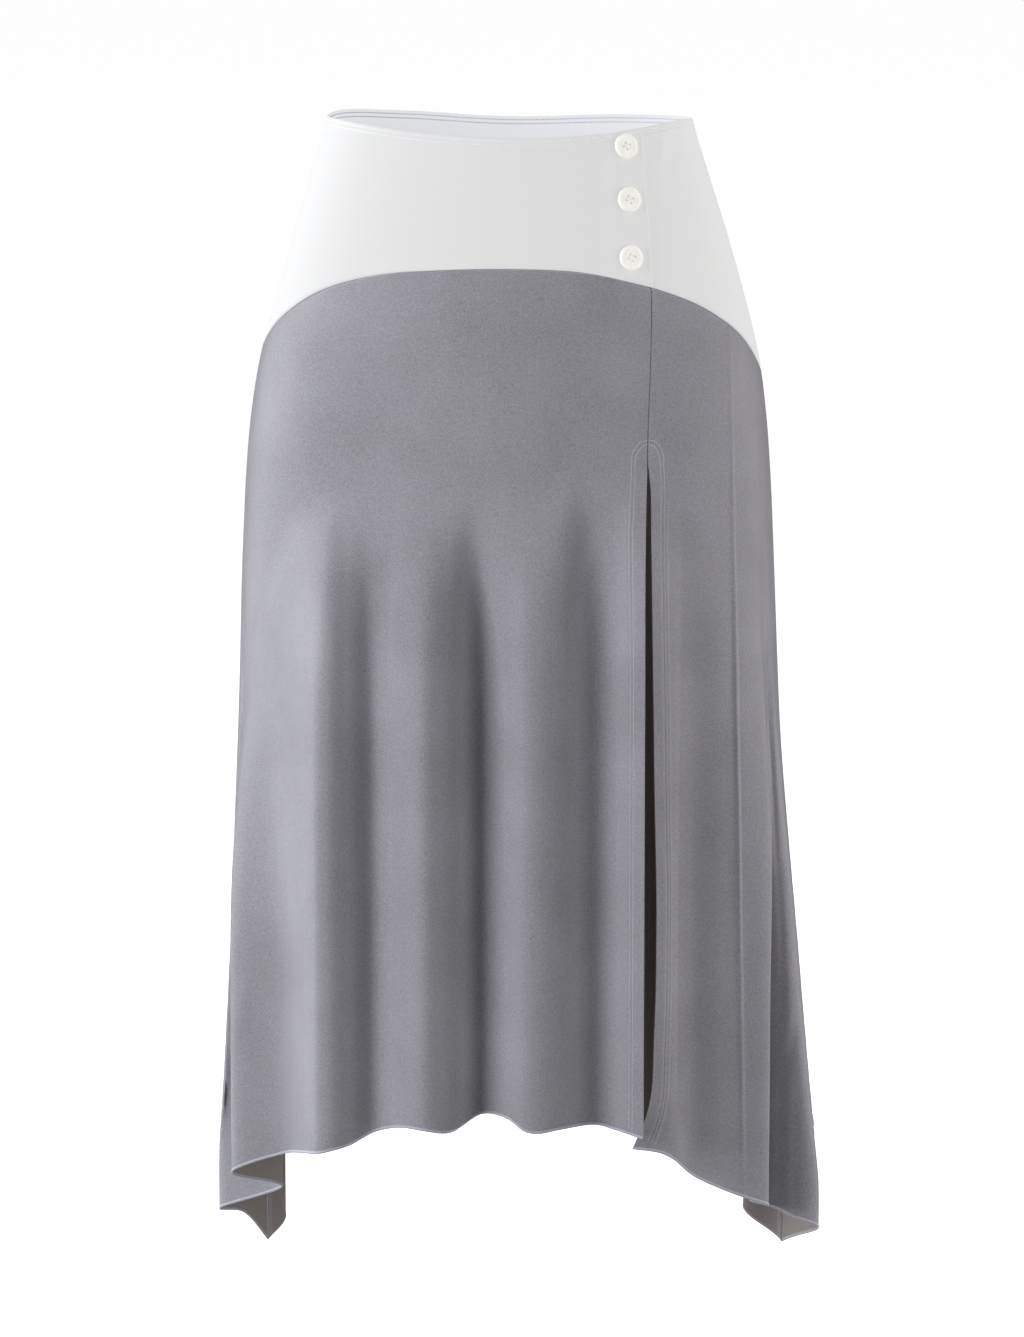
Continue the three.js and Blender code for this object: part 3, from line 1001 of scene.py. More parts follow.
class Wardrobe:
    """Makes each finish once and hands out its material."""

    def __init__(self) -> None:
        """Starts with no material made."""
        self.made: dict[str, bpy.types.Material] = {}

    def get(self, finish: Jersey | SewingThread | ButtonResin) -> bpy.types.Material:
        """Gives the material of a finish, which it makes on first use.

        Args:
            finish: the finish.

        Returns:
            The material.
        """
        if finish.name not in self.made:
            self.made[finish.name] = finish.material()
        return self.made[finish.name]


def mesh_object(name: str, points: Array, faces: list, smooth: bool = True) -> bpy.types.Object:
    """A new mesh object at the origin.

    Args:
        name: its name.
        points: its points in mm.
        faces: its faces.
        smooth: whether the faces are shaded smooth.

    Returns:
        The object, linked to the scene.
    """
    mesh = bpy.data.meshes.new(name)
    mesh.from_pydata((np.asarray(points).reshape(-1, 3) * MM).tolist(), [], faces)
    mesh.polygons.foreach_set("use_smooth", [smooth] * len(mesh.polygons))
    mesh.update()
    piece = bpy.data.objects.new(name, mesh)
    bpy.context.scene.collection.objects.link(piece)
    return piece


def hold(piece: bpy.types.Object) -> bpy.types.Object:
    """Makes a piece ride on the body.

    Args:
        piece: the piece.

    Returns:
        The same piece.
    """
    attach(piece, BODY_NAME)
    return piece


@dataclass
class ClothPanel:
    """One cut piece of jersey, as a thin closed shell.

    Attributes:
        name: the piece's name.
        node: the solid that it stands for.
        grid: its outer points.
        wall: the jersey's thickness.
        face: finish of its outer side.
        back: finish of its inner side.
        slot: the record's slot; not used.
        flat: width and length that it was cut from, in metres; not used.
        area: its flat area, in square metres; not used.
    """

    name: str
    node: str
    grid: Grid
    wall: float
    face: Jersey
    back: Jersey
    slot: Slot
    flat: tuple[float, float]
    area: float

    def build(self, wardrobe: Wardrobe) -> bpy.types.Object:
        """Makes the shell and dresses both of its sides.

        Args:
            wardrobe: where the materials come from.

        Returns:
            The panel's object.
        """
        grid = self.grid
        rows, columns = grid.points.shape[:2]
        half = self.wall / 2
        inset = np.minimum(grid.nearest_edge(), half)
        thick = np.sqrt(np.maximum(half**2 - (half - inset) ** 2, 0.0))
        middle = grid.points - grid.normals * half
        outer = middle + grid.normals * thick[..., None]
        inner = middle - grid.normals * thick[..., None]
        outer_ids = np.arange(rows * columns).reshape(rows, columns)
        inner_ids = outer_ids.copy()
        inner_ids[1:-1, 1:-1] = rows * columns + np.arange((rows - 2) * (columns - 2)).reshape(
            rows - 2, columns - 2
        )
        points = np.concatenate((outer.reshape(-1, 3), inner[1:-1, 1:-1].reshape(-1, 3)))
        out_faces = quads(outer_ids)
        in_faces = quads(inner_ids)[:, ::-1]
        piece = mesh_object(self.name, points, np.concatenate((out_faces, in_faces)).tolist())
        self._lay_flat(piece.data, outer_ids)
        piece.data.materials.append(wardrobe.get(self.face))
        piece.data.materials.append(wardrobe.get(self.back))
        sides = np.repeat([0, 1], [len(out_faces), len(in_faces)])
        piece.data.polygons.foreach_set("material_index", sides)
        return hold(piece)

    def _lay_flat(self, mesh: bpy.types.Mesh, ids: Array) -> None:
        """Gives the mesh its UV map: metres across from the panel's middle, and metres down.

        Args:
            mesh: the shell's mesh.
            ids: vertex numbers of the outer grid.
        """
        points = self.grid.points
        run = np.linalg.norm(np.diff(points, axis=1), axis=2).cumsum(axis=1)
        across = np.concatenate((np.zeros((len(points), 1)), run), axis=1)
        across -= across[:, -1:] / 2
        fall = np.linalg.norm(np.diff(points, axis=0), axis=2).cumsum(axis=0)
        down = np.concatenate((np.zeros((1, points.shape[1])), fall))
        flat = np.stack((across, -down), axis=-1).reshape(-1, 2) * MM
        corners = quads(ids)
        both = np.concatenate((flat[corners], flat[corners[:, ::-1]]))
        mesh.uv_layers.new(name="cloth").data.foreach_set("uv", both.reshape(-1))

    def declare(self, piece: bpy.types.Object, trims: list[bpy.types.Object]) -> None:
        """Hides the solid that the panel stands for, and logs the panel's face count.

        Args:
            piece: the panel's object.
            trims: its hem and stitches; not used.
        """
        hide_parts(self.node)
        log.info("%s: %d faces", piece.name, len(piece.data.polygons))


def quads(ids: Array) -> Array:
    """Faces of a grid of vertex numbers, turned outward."""
    return np.stack((ids[:-1, :-1], ids[1:, :-1], ids[1:, 1:], ids[:-1, 1:]), axis=-1).reshape(-1, 4)


class Bench:
    """Short names for the modelling steps that are done by hand."""

    @staticmethod
    def clear() -> None:
        """Leaves object mode with nothing selected."""
        if bpy.context.object and bpy.context.object.mode != "OBJECT":
            bpy.ops.object.mode_set(mode="OBJECT")
        bpy.ops.object.select_all(action="DESELECT")

    @staticmethod
    def enter() -> None:
        """Enters edit mode on the active piece with nothing selected."""
        bpy.ops.object.mode_set(mode="EDIT")
        bpy.ops.mesh.select_all(action="DESELECT")

    @staticmethod
    def leave() -> None:
        """Goes back to object mode."""
        bpy.ops.object.mode_set(mode="OBJECT")

    @staticmethod
    def select_faces(test: Callable[[bmesh.types.BMFace], bool]) -> None:
        """Selects some faces of the active piece, and no others.

        Args:
            test: whether a face is wanted.
        """
        bpy.ops.mesh.select_mode(type="FACE")
        work = bmesh.from_edit_mesh(bpy.context.object.data)
        for face in work.faces:
            face.select_set(test(face))
        bmesh.update_edit_mesh(bpy.context.object.data)

    @staticmethod
    def select_edges(test: Callable[[bmesh.types.BMEdge], bool]) -> None:
        """Selects some edges of the active piece, and no others.

        Args:
            test: whether an edge is wanted.
        """
        bpy.ops.mesh.select_mode(type="EDGE")
        bpy.ops.mesh.select_all(action="DESELECT")
        work = bmesh.from_edit_mesh(bpy.context.object.data)
        for edge in work.edges:
            edge.select_set(test(edge))
        bmesh.update_edit_mesh(bpy.context.object.data)

    @staticmethod
    def pick(*pieces: bpy.types.Object) -> None:
        """Selects some pieces, and no others.

        Args:
            *pieces: the pieces, of which the first one becomes active.
        """
        Bench.clear()
        for piece in pieces:
            piece.select_set(True)
        bpy.context.view_layer.objects.active = pieces[0]

    @staticmethod
    def settle(piece: bpy.types.Object) -> None:
        """Applies a piece's place, turn and scale to its mesh, and leaves it selected."""
        Bench.pick(piece)
        bpy.ops.object.transform_apply(location=True, rotation=True, scale=True)

    @staticmethod
    def join(pieces: list[bpy.types.Object]) -> bpy.types.Object:
        """Joins pieces.

        Args:
            pieces: the pieces.

        Returns:
            The first one, which now holds them all.
        """
        Bench.pick(*pieces)
        bpy.ops.object.join()
        return pieces[0]


@dataclass
class StitchRow:
    """Rows of machine stitches laid on cloth.

    Attributes:
        name: the piece's name.
        paths: for each row, its points and the outward directions there.
        thread: finish of the thread.
        slot: the record's slot; not used.
        pitch: distance from stitch to stitch.
        length: length of a stitch.
        width: width of a stitch.
        height: height of a stitch.
    """

    name: str
    paths: list[tuple[Array, Array]]
    thread: SewingThread
    slot: Slot
    pitch: float = 1.9
    length: float = 1.3
    width: float = 0.8
    height: float = 0.5

    LOOK_AHEAD = 0.5

    def _one(self) -> tuple[Array, list[list[int]]]:
        """Models one stitch, along X and with Z up.

        Returns:
            Its points in mm, and its faces.
        """
        Bench.clear()
        bpy.ops.mesh.primitive_uv_sphere_add(segments=6, ring_count=4, radius=MM / 2)
        sample = bpy.context.object
        Bench.enter()
        bpy.ops.mesh.select_all(action="SELECT")
        bpy.ops.transform.rotate(value=math.pi / 2, orient_axis="Y", center_override=(0.0, 0.0, 0.0))
        bpy.ops.transform.resize(value=(self.length, self.width, self.height))
        Bench.leave()
        points = np.array([vertex.co for vertex in sample.data.vertices]) / MM
        faces = [list(face.vertices) for face in sample.data.polygons]
        bpy.data.objects.remove(sample, do_unlink=True)
        return points, faces

    def build(self, wardrobe: Wardrobe) -> bpy.types.Object:
        """Copies the stitch along every path into one piece.

        Args:
            wardrobe: where the materials come from.

        Returns:
            The piece.
        """
        sample, sample_faces = self._one()
        points = []
        faces = []
        for path, outward in self.paths:
            run = run_length(path)
            places = np.arange(self.pitch / 2, run[-1], self.pitch)
            centre = sampled(places, run, path)
            out = unit(sampled(places, run, outward))
            ahead = sampled(places + self.LOOK_AHEAD, run, path)
            behind = sampled(places - self.LOOK_AHEAD, run, path)
            along = ahead - behind
            along = unit(along - out * (along * out).sum(axis=1, keepdims=True))
            aside = np.cross(out, along)
            for c, u, v, w in zip(centre, along, aside, out):
                start = len(points) * len(sample)
                points.append(c + sample @ np.array((u, v, w)))
                faces += [[start + k for k in face] for face in sample_faces]
        piece = mesh_object(self.name, np.array(points), faces)
        piece.data.materials.append(wardrobe.get(self.thread))
        return hold(piece)


@dataclass
class WrappedHem:
    """The narrow rolled hem, wrapped with thread along a panel's foot.

    Attributes:
        name: the piece's name.
        grid: the panel's grid.
        wall: the cloth's thickness.
        pitch: distance from wrap to wrap.
        rise: half of its height.
        bulge: half of its thickness.
    """

    name: str
    grid: Grid
    wall: float
    pitch: float = 1.05
    rise: float = 1.35
    bulge: float = 0.85

    SIDES = 12
    RINGS_PER_WRAP = 3
    WRAP_DEPTH = 0.16
    END_CLEARANCE = 0.25

    def build(self, wardrobe: Wardrobe) -> bpy.types.Object:
        """Makes the wrapped roll.

        Args:
            wardrobe: where the materials come from.

        Returns:
            The piece.
        """
        foot = self.grid.points[-1] - self.grid.normals[-1] * self.wall / 2
        above = self.grid.points[-6] - self.grid.normals[-6] * self.wall / 2
        run = run_length(foot)
        count = int(run[-1] / self.pitch)
        places = np.linspace(self.END_CLEARANCE, run[-1] - self.END_CLEARANCE, count * self.RINGS_PER_WRAP)
        sample = np.concatenate((foot, self.grid.normals[-1], above - foot), axis=1)
        rings = sampled(places, run, sample)
        up = unit(rings[:, 6:])
        out = unit(rings[:, 3:6] - up * (rings[:, 3:6] * up).sum(axis=1, keepdims=True))
        centre = rings[:, :3] + up * (self.rise - 0.1)
        phase = np.arange(len(places)) % self.RINGS_PER_WRAP
        swell = 1 - self.WRAP_DEPTH * (phase == 0)
        ends = clamp01((np.minimum(places, run[-1] - places) - self.END_CLEARANCE) / 0.8 + 0.35)
        swell = swell * ends
        angle = np.linspace(0, 2 * math.pi, self.SIDES, endpoint=False)
        round_up = np.sin(angle)[None, :, None] * up[:, None] * self.rise
        round_out = np.cos(angle)[None, :, None] * out[:, None] * self.bulge
        points = centre[:, None] + (round_up + round_out) * swell[:, None, None]
        ids = np.arange(len(places) * self.SIDES).reshape(len(places), self.SIDES)
        ids = np.concatenate((ids, ids[:, :1]), axis=1)
        faces = quads(ids)[:, ::-1].tolist()
        faces += [ids[0, :-1].tolist(), ids[-1, :-1][::-1].tolist()]
        piece = mesh_object(self.name, points, faces)
        Bench.pick(piece)
        Bench.enter()
        bpy.ops.mesh.select_all(action="SELECT")
        bpy.ops.mesh.normals_make_consistent(inside=False)
        Bench.leave()
        piece.data.materials.append(wardrobe.get(GREY_THREAD))
        return hold(piece)


@dataclass
class Yoke:
    """The shaped white yoke: three panels, its turned waist edge and the placket edge."""

    wall: float = 1.3
    band: float = 6.8
    waist_rows: tuple[float, float] = (2.4, 5.5)
    fold_ridge: float = 0.35
    front_steps: int = 210
    side_steps: int = 90
    back_steps: int = 230

    EVEN_EDGE = 12
    STITCH_LIFT = 0.02

    def _lift(self, grid: Grid, creases: tuple[Crease, ...]) -> Array:
        """Relief of the yoke: the waist band, the seam's ridge, creases and a slow unevenness.

        Args:
            grid: a panel's grid.
            creases: its creases.

        Returns:
            Lift at each point.
        """
        band = 0.22 * (1 - ease((grid.below - self.band) / 1.2))
        rows = sum(trough(grid.below - row, width=0.7, depth=0.14) for row in self.waist_rows)
        ridge = 0.3 * np.exp(-(((grid.above - 4.2) / 2.2) ** 2))
        seam = turned_in(grid.above, reach=2.2, depth=1.1)
        even = ease(grid.below / self.EVEN_EDGE) * ease(grid.above / self.EVEN_EDGE)
        slow = handmade(grid.points, size=0.22) * even
        return band + rows + ridge + seam + slow + crease_lift(grid.points, creases)

    def _side_seams(self, grid: Grid, first: bool, last: bool) -> Array:
        """Turns the cloth in at the side edges that are sewn.

        Args:
            grid: a panel's grid.
            first: whether its first edge is sewn.
            last: whether its last edge is sewn.

        Returns:
            Lift at each point.
        """
        lift = np.zeros(grid.below.shape)
        if first:
            lift += turned_in(grid.from_first, reach=1.4, depth=0.55)
        if last:
            lift += turned_in(grid.from_last, reach=1.4, depth=0.55)
        return lift

    def panels(self) -> list[ClothPanel]:
        """Cuts the three yoke panels.

        Returns:
            The front, the side front and the back yoke.
        """
        turn = HEM_CURVE.at("turn", loop_positions())
        left = ring_column(LEFT_SEAM)
        right = ring_column(RIGHT_SEAM)
        end = len(turn) - 1
        from_edge = SLIT_TURN + FULL_TURN - turn
        lift = PLACKET_RAISE * ease((PLACKET_OVERLAP + PLACKET_RAMP - from_edge) / PLACKET_RAMP)
        raised = yoke_ring(turn, lift)
        plain = yoke_ring(turn, np.zeros(len(turn)))
        covered = turn[right:end] - FULL_TURN
        covered = covered[covered > SLIT_TURN - PLACKET_OVERLAP]
        under = yoke_ring(np.concatenate((covered, turn)), np.zeros(len(covered) + len(turn)))
        front = raised.cut(right, end, SEAM_BAND, SEAM_BAND, self.front_steps)
        side = under.cut(0, len(covered) + left, SEAM_BAND, SEAM_BAND, self.side_steps)
        back = plain.cut(left, right, SEAM_BAND, SEAM_BAND, self.back_steps)
        fold = self.fold_ridge * np.exp(-(((front.from_last - 1.2) / 1.1) ** 2))
        front = front.moved(self._lift(front, ()) + self._side_seams(front, True, False) + fold)
        side = side.moved(self._lift(side, FRONT_CREASES) + self._side_seams(side, False, True))
        back = back.moved(self._lift(back, ()) + self._side_seams(back, True, True))
        dress = {"wall": self.wall, "face": WHITE_FACE, "back": WHITE_BACK, "slot": Slot.WHITE}
        return [
            ClothPanel("front_yoke", "yoke_front", front, flat=(0.36, 0.18), area=0.0355, **dress),
            ClothPanel("side_front_yoke", "yoke_side_front", side, flat=(0.18, 0.195), area=0.0185, **dress),
            ClothPanel("back_yoke", "yoke_back", back, flat=(0.495, 0.195), area=0.059, **dress),
        ]

    def _row_path(self, grid: Grid, drop: float, inside: bool) -> tuple[Array, Array]:
        """Path of a stitch row at a distance below the waist edge.

        Args:
            grid: a panel's grid.
            drop: distance below the waist edge.
            inside: whether the row lies on the inner side.

        Returns:
            Its points and the directions that face away from the cloth.
        """
        row = int(np.argmin(np.abs(grid.below[:, 0] - drop)))
        points = grid.points[row]
        outward = grid.normals[row]
        if inside:
            return points - outward * (self.wall + self.STITCH_LIFT), -outward
        return points + outward * self.STITCH_LIFT, outward

    def build(self, wardrobe: Wardrobe) -> None:
        """Builds the panels and their stitches.

        Args:
            wardrobe: where the materials come from.
        """
        for panel in self.panels():
            piece = panel.build(wardrobe)
            outside = [self._row_path(panel.grid, drop, False) for drop in self.waist_rows]
            inside = [self._row_path(panel.grid, drop, True) for drop in self.waist_rows]
            outer = StitchRow(
                panel.name + "_waist_stitches", outside, WHITE_THREAD, Slot.WHITE, height=0.3
            )
            inner = StitchRow(
                panel.name + "_waist_loopers", inside, COOL_THREAD, Slot.WHITE,
                pitch=1.8, length=1.25, width=1.1, height=0.55,
            )
            panel.declare(piece, [outer.build(wardrobe), inner.build(wardrobe)])


@dataclass
class SkirtCloth:
    """The grey skirt: three panels, the stitched slit, the wrapped hem and the side seams."""

    wall: float = 0.9
    slit_rows: tuple[float, float] = (9.8, 12.8)
    slit_band: float = 14.4
    arch_height: float = 16.0
    arch_top: float = -228.0
    bound_columns: tuple[int, int] = (5, -6)
    front_steps: int = 250
    side_steps: int = 170
    back_steps: int = 260

    SIDE_SEAM = {"reach": 1.5, "depth": 0.6}
    EVEN_EDGE = 30
    STITCH_LIFT = 0.03
    THREAD_LIFT = 0.15
    ARCH_POINTS = 14
    ROW_STEP = 5.0
    HEM_CLEARANCE = 2.5

    def _lift(self, grid: Grid, creases: tuple[Crease, ...]) -> Array:
        """Relief of a panel: its top seam, creases and a slow unevenness.

        Args:
            grid: a panel's grid.
            creases: its creases.

        Returns:
            Lift at each point.
        """
        seam = turned_in(grid.below, reach=2.4, depth=1.3)
        slow = handmade(grid.points, size=0.3) * ease(grid.below / self.EVEN_EDGE)
        return seam + slow + crease_lift(grid.points, creases)

    def _slit_lift(self, grid: Grid, away: Array) -> Array:
        """Relief along the slit: a turned hem with two sunk rows, and the plain seam above it.

        Args:
            grid: a panel's grid.
            away: distance from the slit's edge.

        Returns:
            Lift at each point.
        """
        open_part = ease((SLIT_TOP + 4 - grid.heights) / 18)
        band = 0.5 * (1 - ease((away - self.slit_band) / 1.6))
        rows = sum(trough(away - row, width=0.75, depth=0.3) for row in self.slit_rows)
        hem = (band + rows) * open_part
        seam = turned_in(away, reach=1.0, depth=0.3) * (1 - open_part)
        gathers = 1 + 0.5 * np.sin(grid.heights / 3.1)
        pucker = trough(away, width=4.0, depth=0.25) * (1 - open_part) * gathers
        return hem + seam + pucker

    def panels(self) -> list[ClothPanel]:
        """Cuts the three skirt panels.

        Returns:
            The front, the side front and the back panel.
        """
        ring = skirt_ring()
        left = ring_column(LEFT_SEAM)
        right = ring_column(RIGHT_SEAM)
        end = ring.points.shape[1] - 1
        front = ring.cut(right, end, SEAM_BAND, HEMMED_BAND, self.front_steps)
        side = ring.cut(0, left, HEMMED_BAND, SEAM_BAND, self.side_steps)
        back = ring.cut(left, right, SEAM_BAND, SEAM_BAND, self.back_steps)
        front_lift = self._lift(front, FRONT_CREASES) + self._slit_lift(front, front.from_last)
        side_lift = self._lift(side, FRONT_CREASES) + self._slit_lift(side, side.from_first)
        back_lift = self._lift(back, BACK_CREASES)
        back_seams = np.minimum(back.from_first, back.from_last)
        front = front.moved(front_lift + turned_in(front.from_first, **self.SIDE_SEAM))
        side = side.moved(side_lift + turned_in(side.from_last, **self.SIDE_SEAM))
        back = back.moved(back_lift + turned_in(back_seams, **self.SIDE_SEAM))
        dress = {"wall": self.wall, "face": GREY_FACE, "back": GREY_BACK, "slot": Slot.GREY}
        return [
            ClothPanel("front_panel", "skirt_front", front, flat=(0.6, 0.72), area=0.294, **dress),
            ClothPanel("side_front_panel", "skirt_side_front", side, flat=(0.31, 0.7), area=0.133, **dress),
            ClothPanel("back_panel", "skirt_back", back, flat=(0.72, 0.72), area=0.407, **dress),
        ]

    def _slit_path(self, grid: Grid, side: str, row: float) -> tuple[Array, Array]:
        """Path of a stitch row beside the slit, which curves in to meet the seam above its top.

        Args:
            grid: a panel's grid.
            side: from_first or from_last.
            row: the row's distance from the slit's edge.

        Returns:
            Its points and outward directions.
        """
        arch_top = self.arch_top - (self.slit_rows[1] - row)
        drops = np.linspace(0.0, 1.0, self.ARCH_POINTS)
        arch = [(row * math.sqrt(1 - (1 - d) ** 2) + 0.4, arch_top - self.arch_height * d) for d in drops]
        foot = grid.points[-1, 0 if side == "from_first" else -1, 2]
        straight = np.arange(arch_top - self.arch_height - 4, foot + self.HEM_CLEARANCE, -self.ROW_STEP)
        places = [grid.locate(side, away, z) for away, z in arch]
        places += [grid.locate(side, row, z) for z in straight]
        points = np.array([place[0] for place in places])
        outward = np.array([place[1] for place in places])
        return points + outward * self.STITCH_LIFT, outward

    def _top_path(self, grid: Grid) -> tuple[Array, Array]:
        """Path of the threads that bind the yoke seam on the inner side.

        Args:
            grid: a panel's grid.

        Returns:
            Its points and the directions that face away from the cloth.
        """
        points = grid.points[0, 2:-2]
        outward = grid.normals[STEADY, 2:-2]
        return points - outward * (self.wall + self.THREAD_LIFT), -outward

    def _seam_path(self, grid: Grid, column: int, foot: float = -math.inf) -> tuple[Array, Array]:
        """Path of the threads that bind a seam on the inner side.

        Args:
            grid: a panel's grid.
            column: the column of the grid along which they run.
            foot: height at which the seam ends, if that is above the hem.

        Returns:
            Its points and the directions that face away from the cloth.
        """
        points = grid.points[4:-4, column]
        outward = grid.normals[4:-4, STEADY if column >= 0 else -STEADY - 1]
        sewn = points[:, 2] > foot
        return (points - outward * (self.wall + self.THREAD_LIFT))[sewn], -outward[sewn]

    def build(self, wardrobe: Wardrobe) -> None:
        """Builds the panels, their hems and their stitches.

        Args:
            wardrobe: where the materials come from.
        """
        front, side, back = self.panels()
        slit_edges = {front.name: "from_last", side.name: "from_first"}
        seams = {
            front.name: [self._seam_path(front.grid, -1, SLIT_TOP)],
            back.name: [self._seam_path(back.grid, column) for column in self.bound_columns],
        }
        for panel in (front, side, back):
            piece = panel.build(wardrobe)
            top = StitchRow(
                panel.name + "_top_overlock", [self._top_path(panel.grid)], GREY_THREAD, Slot.GREY,
                pitch=0.95, length=0.85, width=5.0, height=0.5,
            )
            trims = [WrappedHem(panel.name + "_hem", panel.grid, self.wall).build(wardrobe)]
            trims.append(top.build(wardrobe))
            if panel.name in slit_edges:
                edge = slit_edges[panel.name]
                paths = [self._slit_path(panel.grid, edge, row) for row in self.slit_rows]
                stitches = StitchRow(panel.name + "_slit_stitches", paths, SEAM_THREAD, Slot.GREY)
                trims.append(stitches.build(wardrobe))
            if panel.name in seams:
                bound = StitchRow(
                    panel.name + "_seam_overlock", seams[panel.name], GREY_THREAD, Slot.GREY,
                    pitch=1.25, length=0.7, width=5.6, height=0.5,
                )
                trims.append(bound.build(wardrobe))
            panel.declare(piece, trims)


@dataclass(frozen=True)
class ButtonPlace:
    """Where a button sits on the placket, and which solid it stands for."""

    name: str
    node: str
    x: float
    z: float


@dataclass
class ButtonSet:
    """Three round four-hole buttons and the thread that holds them."""

    radius: float = 9.0
    thickness: float = 3.0
    rim: float = 1.5
    slope: float = 0.5
    dish: float = 0.7
    edge_round: float = 0.75
    rim_round: float = 0.25
    hole_radius: float = 0.95
    hole_offset: float = 2.45
    hole_turn: float = 12.0
    strand_radius: float = 0.3
    strand_gap: float = 0.3
    strand_depth: float = 0.9
    strand_flatness: float = 0.42
    strand_cross: float = 0.12
    shank_sink: float = 0.22
    shank_fill: float = 0.85
    places: tuple[ButtonPlace, ...] = (
        ButtonPlace("top_button", "button_top", 82.8, -15.8),
        ButtonPlace("middle_button", "button_middle", 85.2, -54.1),
        ButtonPlace("bottom_button", "button_bottom", 86.7, -95.6),
    )

    def _disc(self) -> bpy.types.Object:
        """Models one button, with its back at the origin and its face up.

        Returns:
            The button's object.
        """
        top = self.thickness * MM
        Bench.clear()
        bpy.ops.mesh.primitive_cylinder_add(
            vertices=72, radius=self.radius * MM, depth=top, location=(0.0, 0.0, top / 2)
        )
        disc = bpy.context.object
        Bench.settle(disc)
        Bench.enter()
        Bench.select_faces(lambda face: face.normal.z > 0.9)
        bpy.ops.mesh.inset(thickness=self.rim * MM, depth=0.0)
        bpy.ops.mesh.inset(thickness=self.slope * MM, depth=0.0)
        bpy.ops.transform.translate(value=(0.0, 0.0, -self.dish * MM))
        for radius, bevel, segments in (
            (self.radius, self.edge_round, 5),
            (self.radius - self.rim, self.rim_round, 3),
        ):
            self._select_circle(radius * MM)
            bpy.ops.mesh.bevel(offset=bevel * MM, segments=segments, affect="EDGES")
        Bench.leave()
        self._drill(disc)
        return disc

    def _select_circle(self, radius: float) -> None:
        """Selects the level edges of a button at a radius, in metres."""
        Bench.select_edges(
            lambda edge: all(abs(v.co.xy.length - radius) < 0.1 * MM for v in edge.verts)
            and abs(edge.verts[0].co.z - edge.verts[1].co.z) < 1e-6
        )

    def _holes(self) -> list[tuple[float, float, float]]:
        """Turn and place of each thread hole, in mm."""
        turns = [math.radians(self.hole_turn + 90 * k) for k in range(4)]
        return [(t, self.hole_offset * math.cos(t), self.hole_offset * math.sin(t)) for t in turns]

    def _drill(self, disc: bpy.types.Object) -> None:
        """Cuts the thread holes through a button.

        Args:
            disc: the button.
        """
        Bench.clear()
        drills = []
        for _, x, y in self._holes():
            bpy.ops.mesh.primitive_cylinder_add(
                vertices=24,
                radius=self.hole_radius * MM,
                depth=4 * self.thickness * MM,
                location=(x * MM, y * MM, 0.0),
            )
            drills.append(bpy.context.object)
        for drill in drills:
            cut = disc.modifiers.new("thread hole", "BOOLEAN")
            cut.operation = "DIFFERENCE"
            cut.solver = "EXACT"
            cut.object = drill
            Bench.pick(disc)
            bpy.ops.object.modifier_apply(modifier=cut.name)
        for drill in drills:
            bpy.data.objects.remove(drill, do_unlink=True)

    def _knot(self) -> bpy.types.Object:
        """Models the thread cross of one button: two strands each way, over the dish.

        Returns:
            The thread's object.
        """
        floor = (self.thickness - self.dish) * MM
        strands = []
        for k, side in ((0, -1), (0, 1), (1, -1), (1, 1)):
            turn = math.radians(self.hole_turn + 90 * k)
            shift = Vector((-math.sin(turn), math.cos(turn), 0.0)) * side * self.strand_gap * MM
            Bench.clear()
            bpy.ops.mesh.primitive_torus_add(
                major_radius=self.hole_offset * MM,
                minor_radius=self.strand_radius * MM,
                major_segments=28,
                minor_segments=10,
                rotation=(math.pi / 2, 0.0, turn),
                location=(shift.x, shift.y, floor),
            )
            strand = bpy.context.object
            Bench.settle(strand)
            Bench.enter()
            bpy.ops.mesh.select_all(action="SELECT")
            bpy.ops.mesh.bisect(
                plane_co=(0.0, 0.0, floor - self.strand_depth * MM),
                plane_no=(0.0, 0.0, 1.0),
                use_fill=True,
                clear_inner=True,
            )
            bpy.ops.mesh.select_all(action="SELECT")
            bpy.ops.transform.resize(
                value=(1.0, 1.0, self.strand_flatness), center_override=(0.0, 0.0, floor - 0.2 * MM)
            )
            if k:
                bpy.ops.transform.translate(value=(0.0, 0.0, self.strand_cross * MM))
            Bench.leave()
            strands.append(strand)
        return Bench.join(strands)

    def _shaded_shanks(self) -> bpy.types.Object:
        """Models the thread that runs down the four holes of one button; its darker, warmer finish is
        painted shade in the holes.

        Returns:
            The thread's object.
        """
        top = (self.thickness - self.dish - self.shank_sink) * MM
        shanks = []
        for _, x, y in self._holes():
            Bench.clear()
            bpy.ops.mesh.primitive_cylinder_add(
                vertices=16,
                radius=self.shank_fill * self.hole_radius * MM,
                depth=top,
                location=(x * MM, y * MM, top / 2),
            )
            Bench.settle(bpy.context.object)
            shanks.append(bpy.context.object)
        return Bench.join(shanks)

    def _seat(self, place: ButtonPlace) -> Matrix:
        """Turn and place of a button on the placket.

        Args:
            place: where it goes.

        Returns:
            The matrix that moves a button there, in metres.
        """
        reach = (place.x - Body.section("middle", place.z)) / Body.section("half_width", place.z)
        angle = math.degrees(math.asin(reach))
        seat = Body.point(angle, place.z, PLACKET_RAISE)
        across = unit(Body.point(angle + 1, place.z) - Body.point(angle - 1, place.z))
        up = unit(Body.point(angle, place.z + 1) - Body.point(angle, place.z - 1))
        out = unit(np.cross(across, up))
        up = np.cross(out, across)
        turn = Matrix(np.stack((across, up, out), axis=1).tolist()).to_4x4()
        return Matrix.Translation(Vector(((seat + out * SEAM_GAP) * MM).tolist())) @ turn

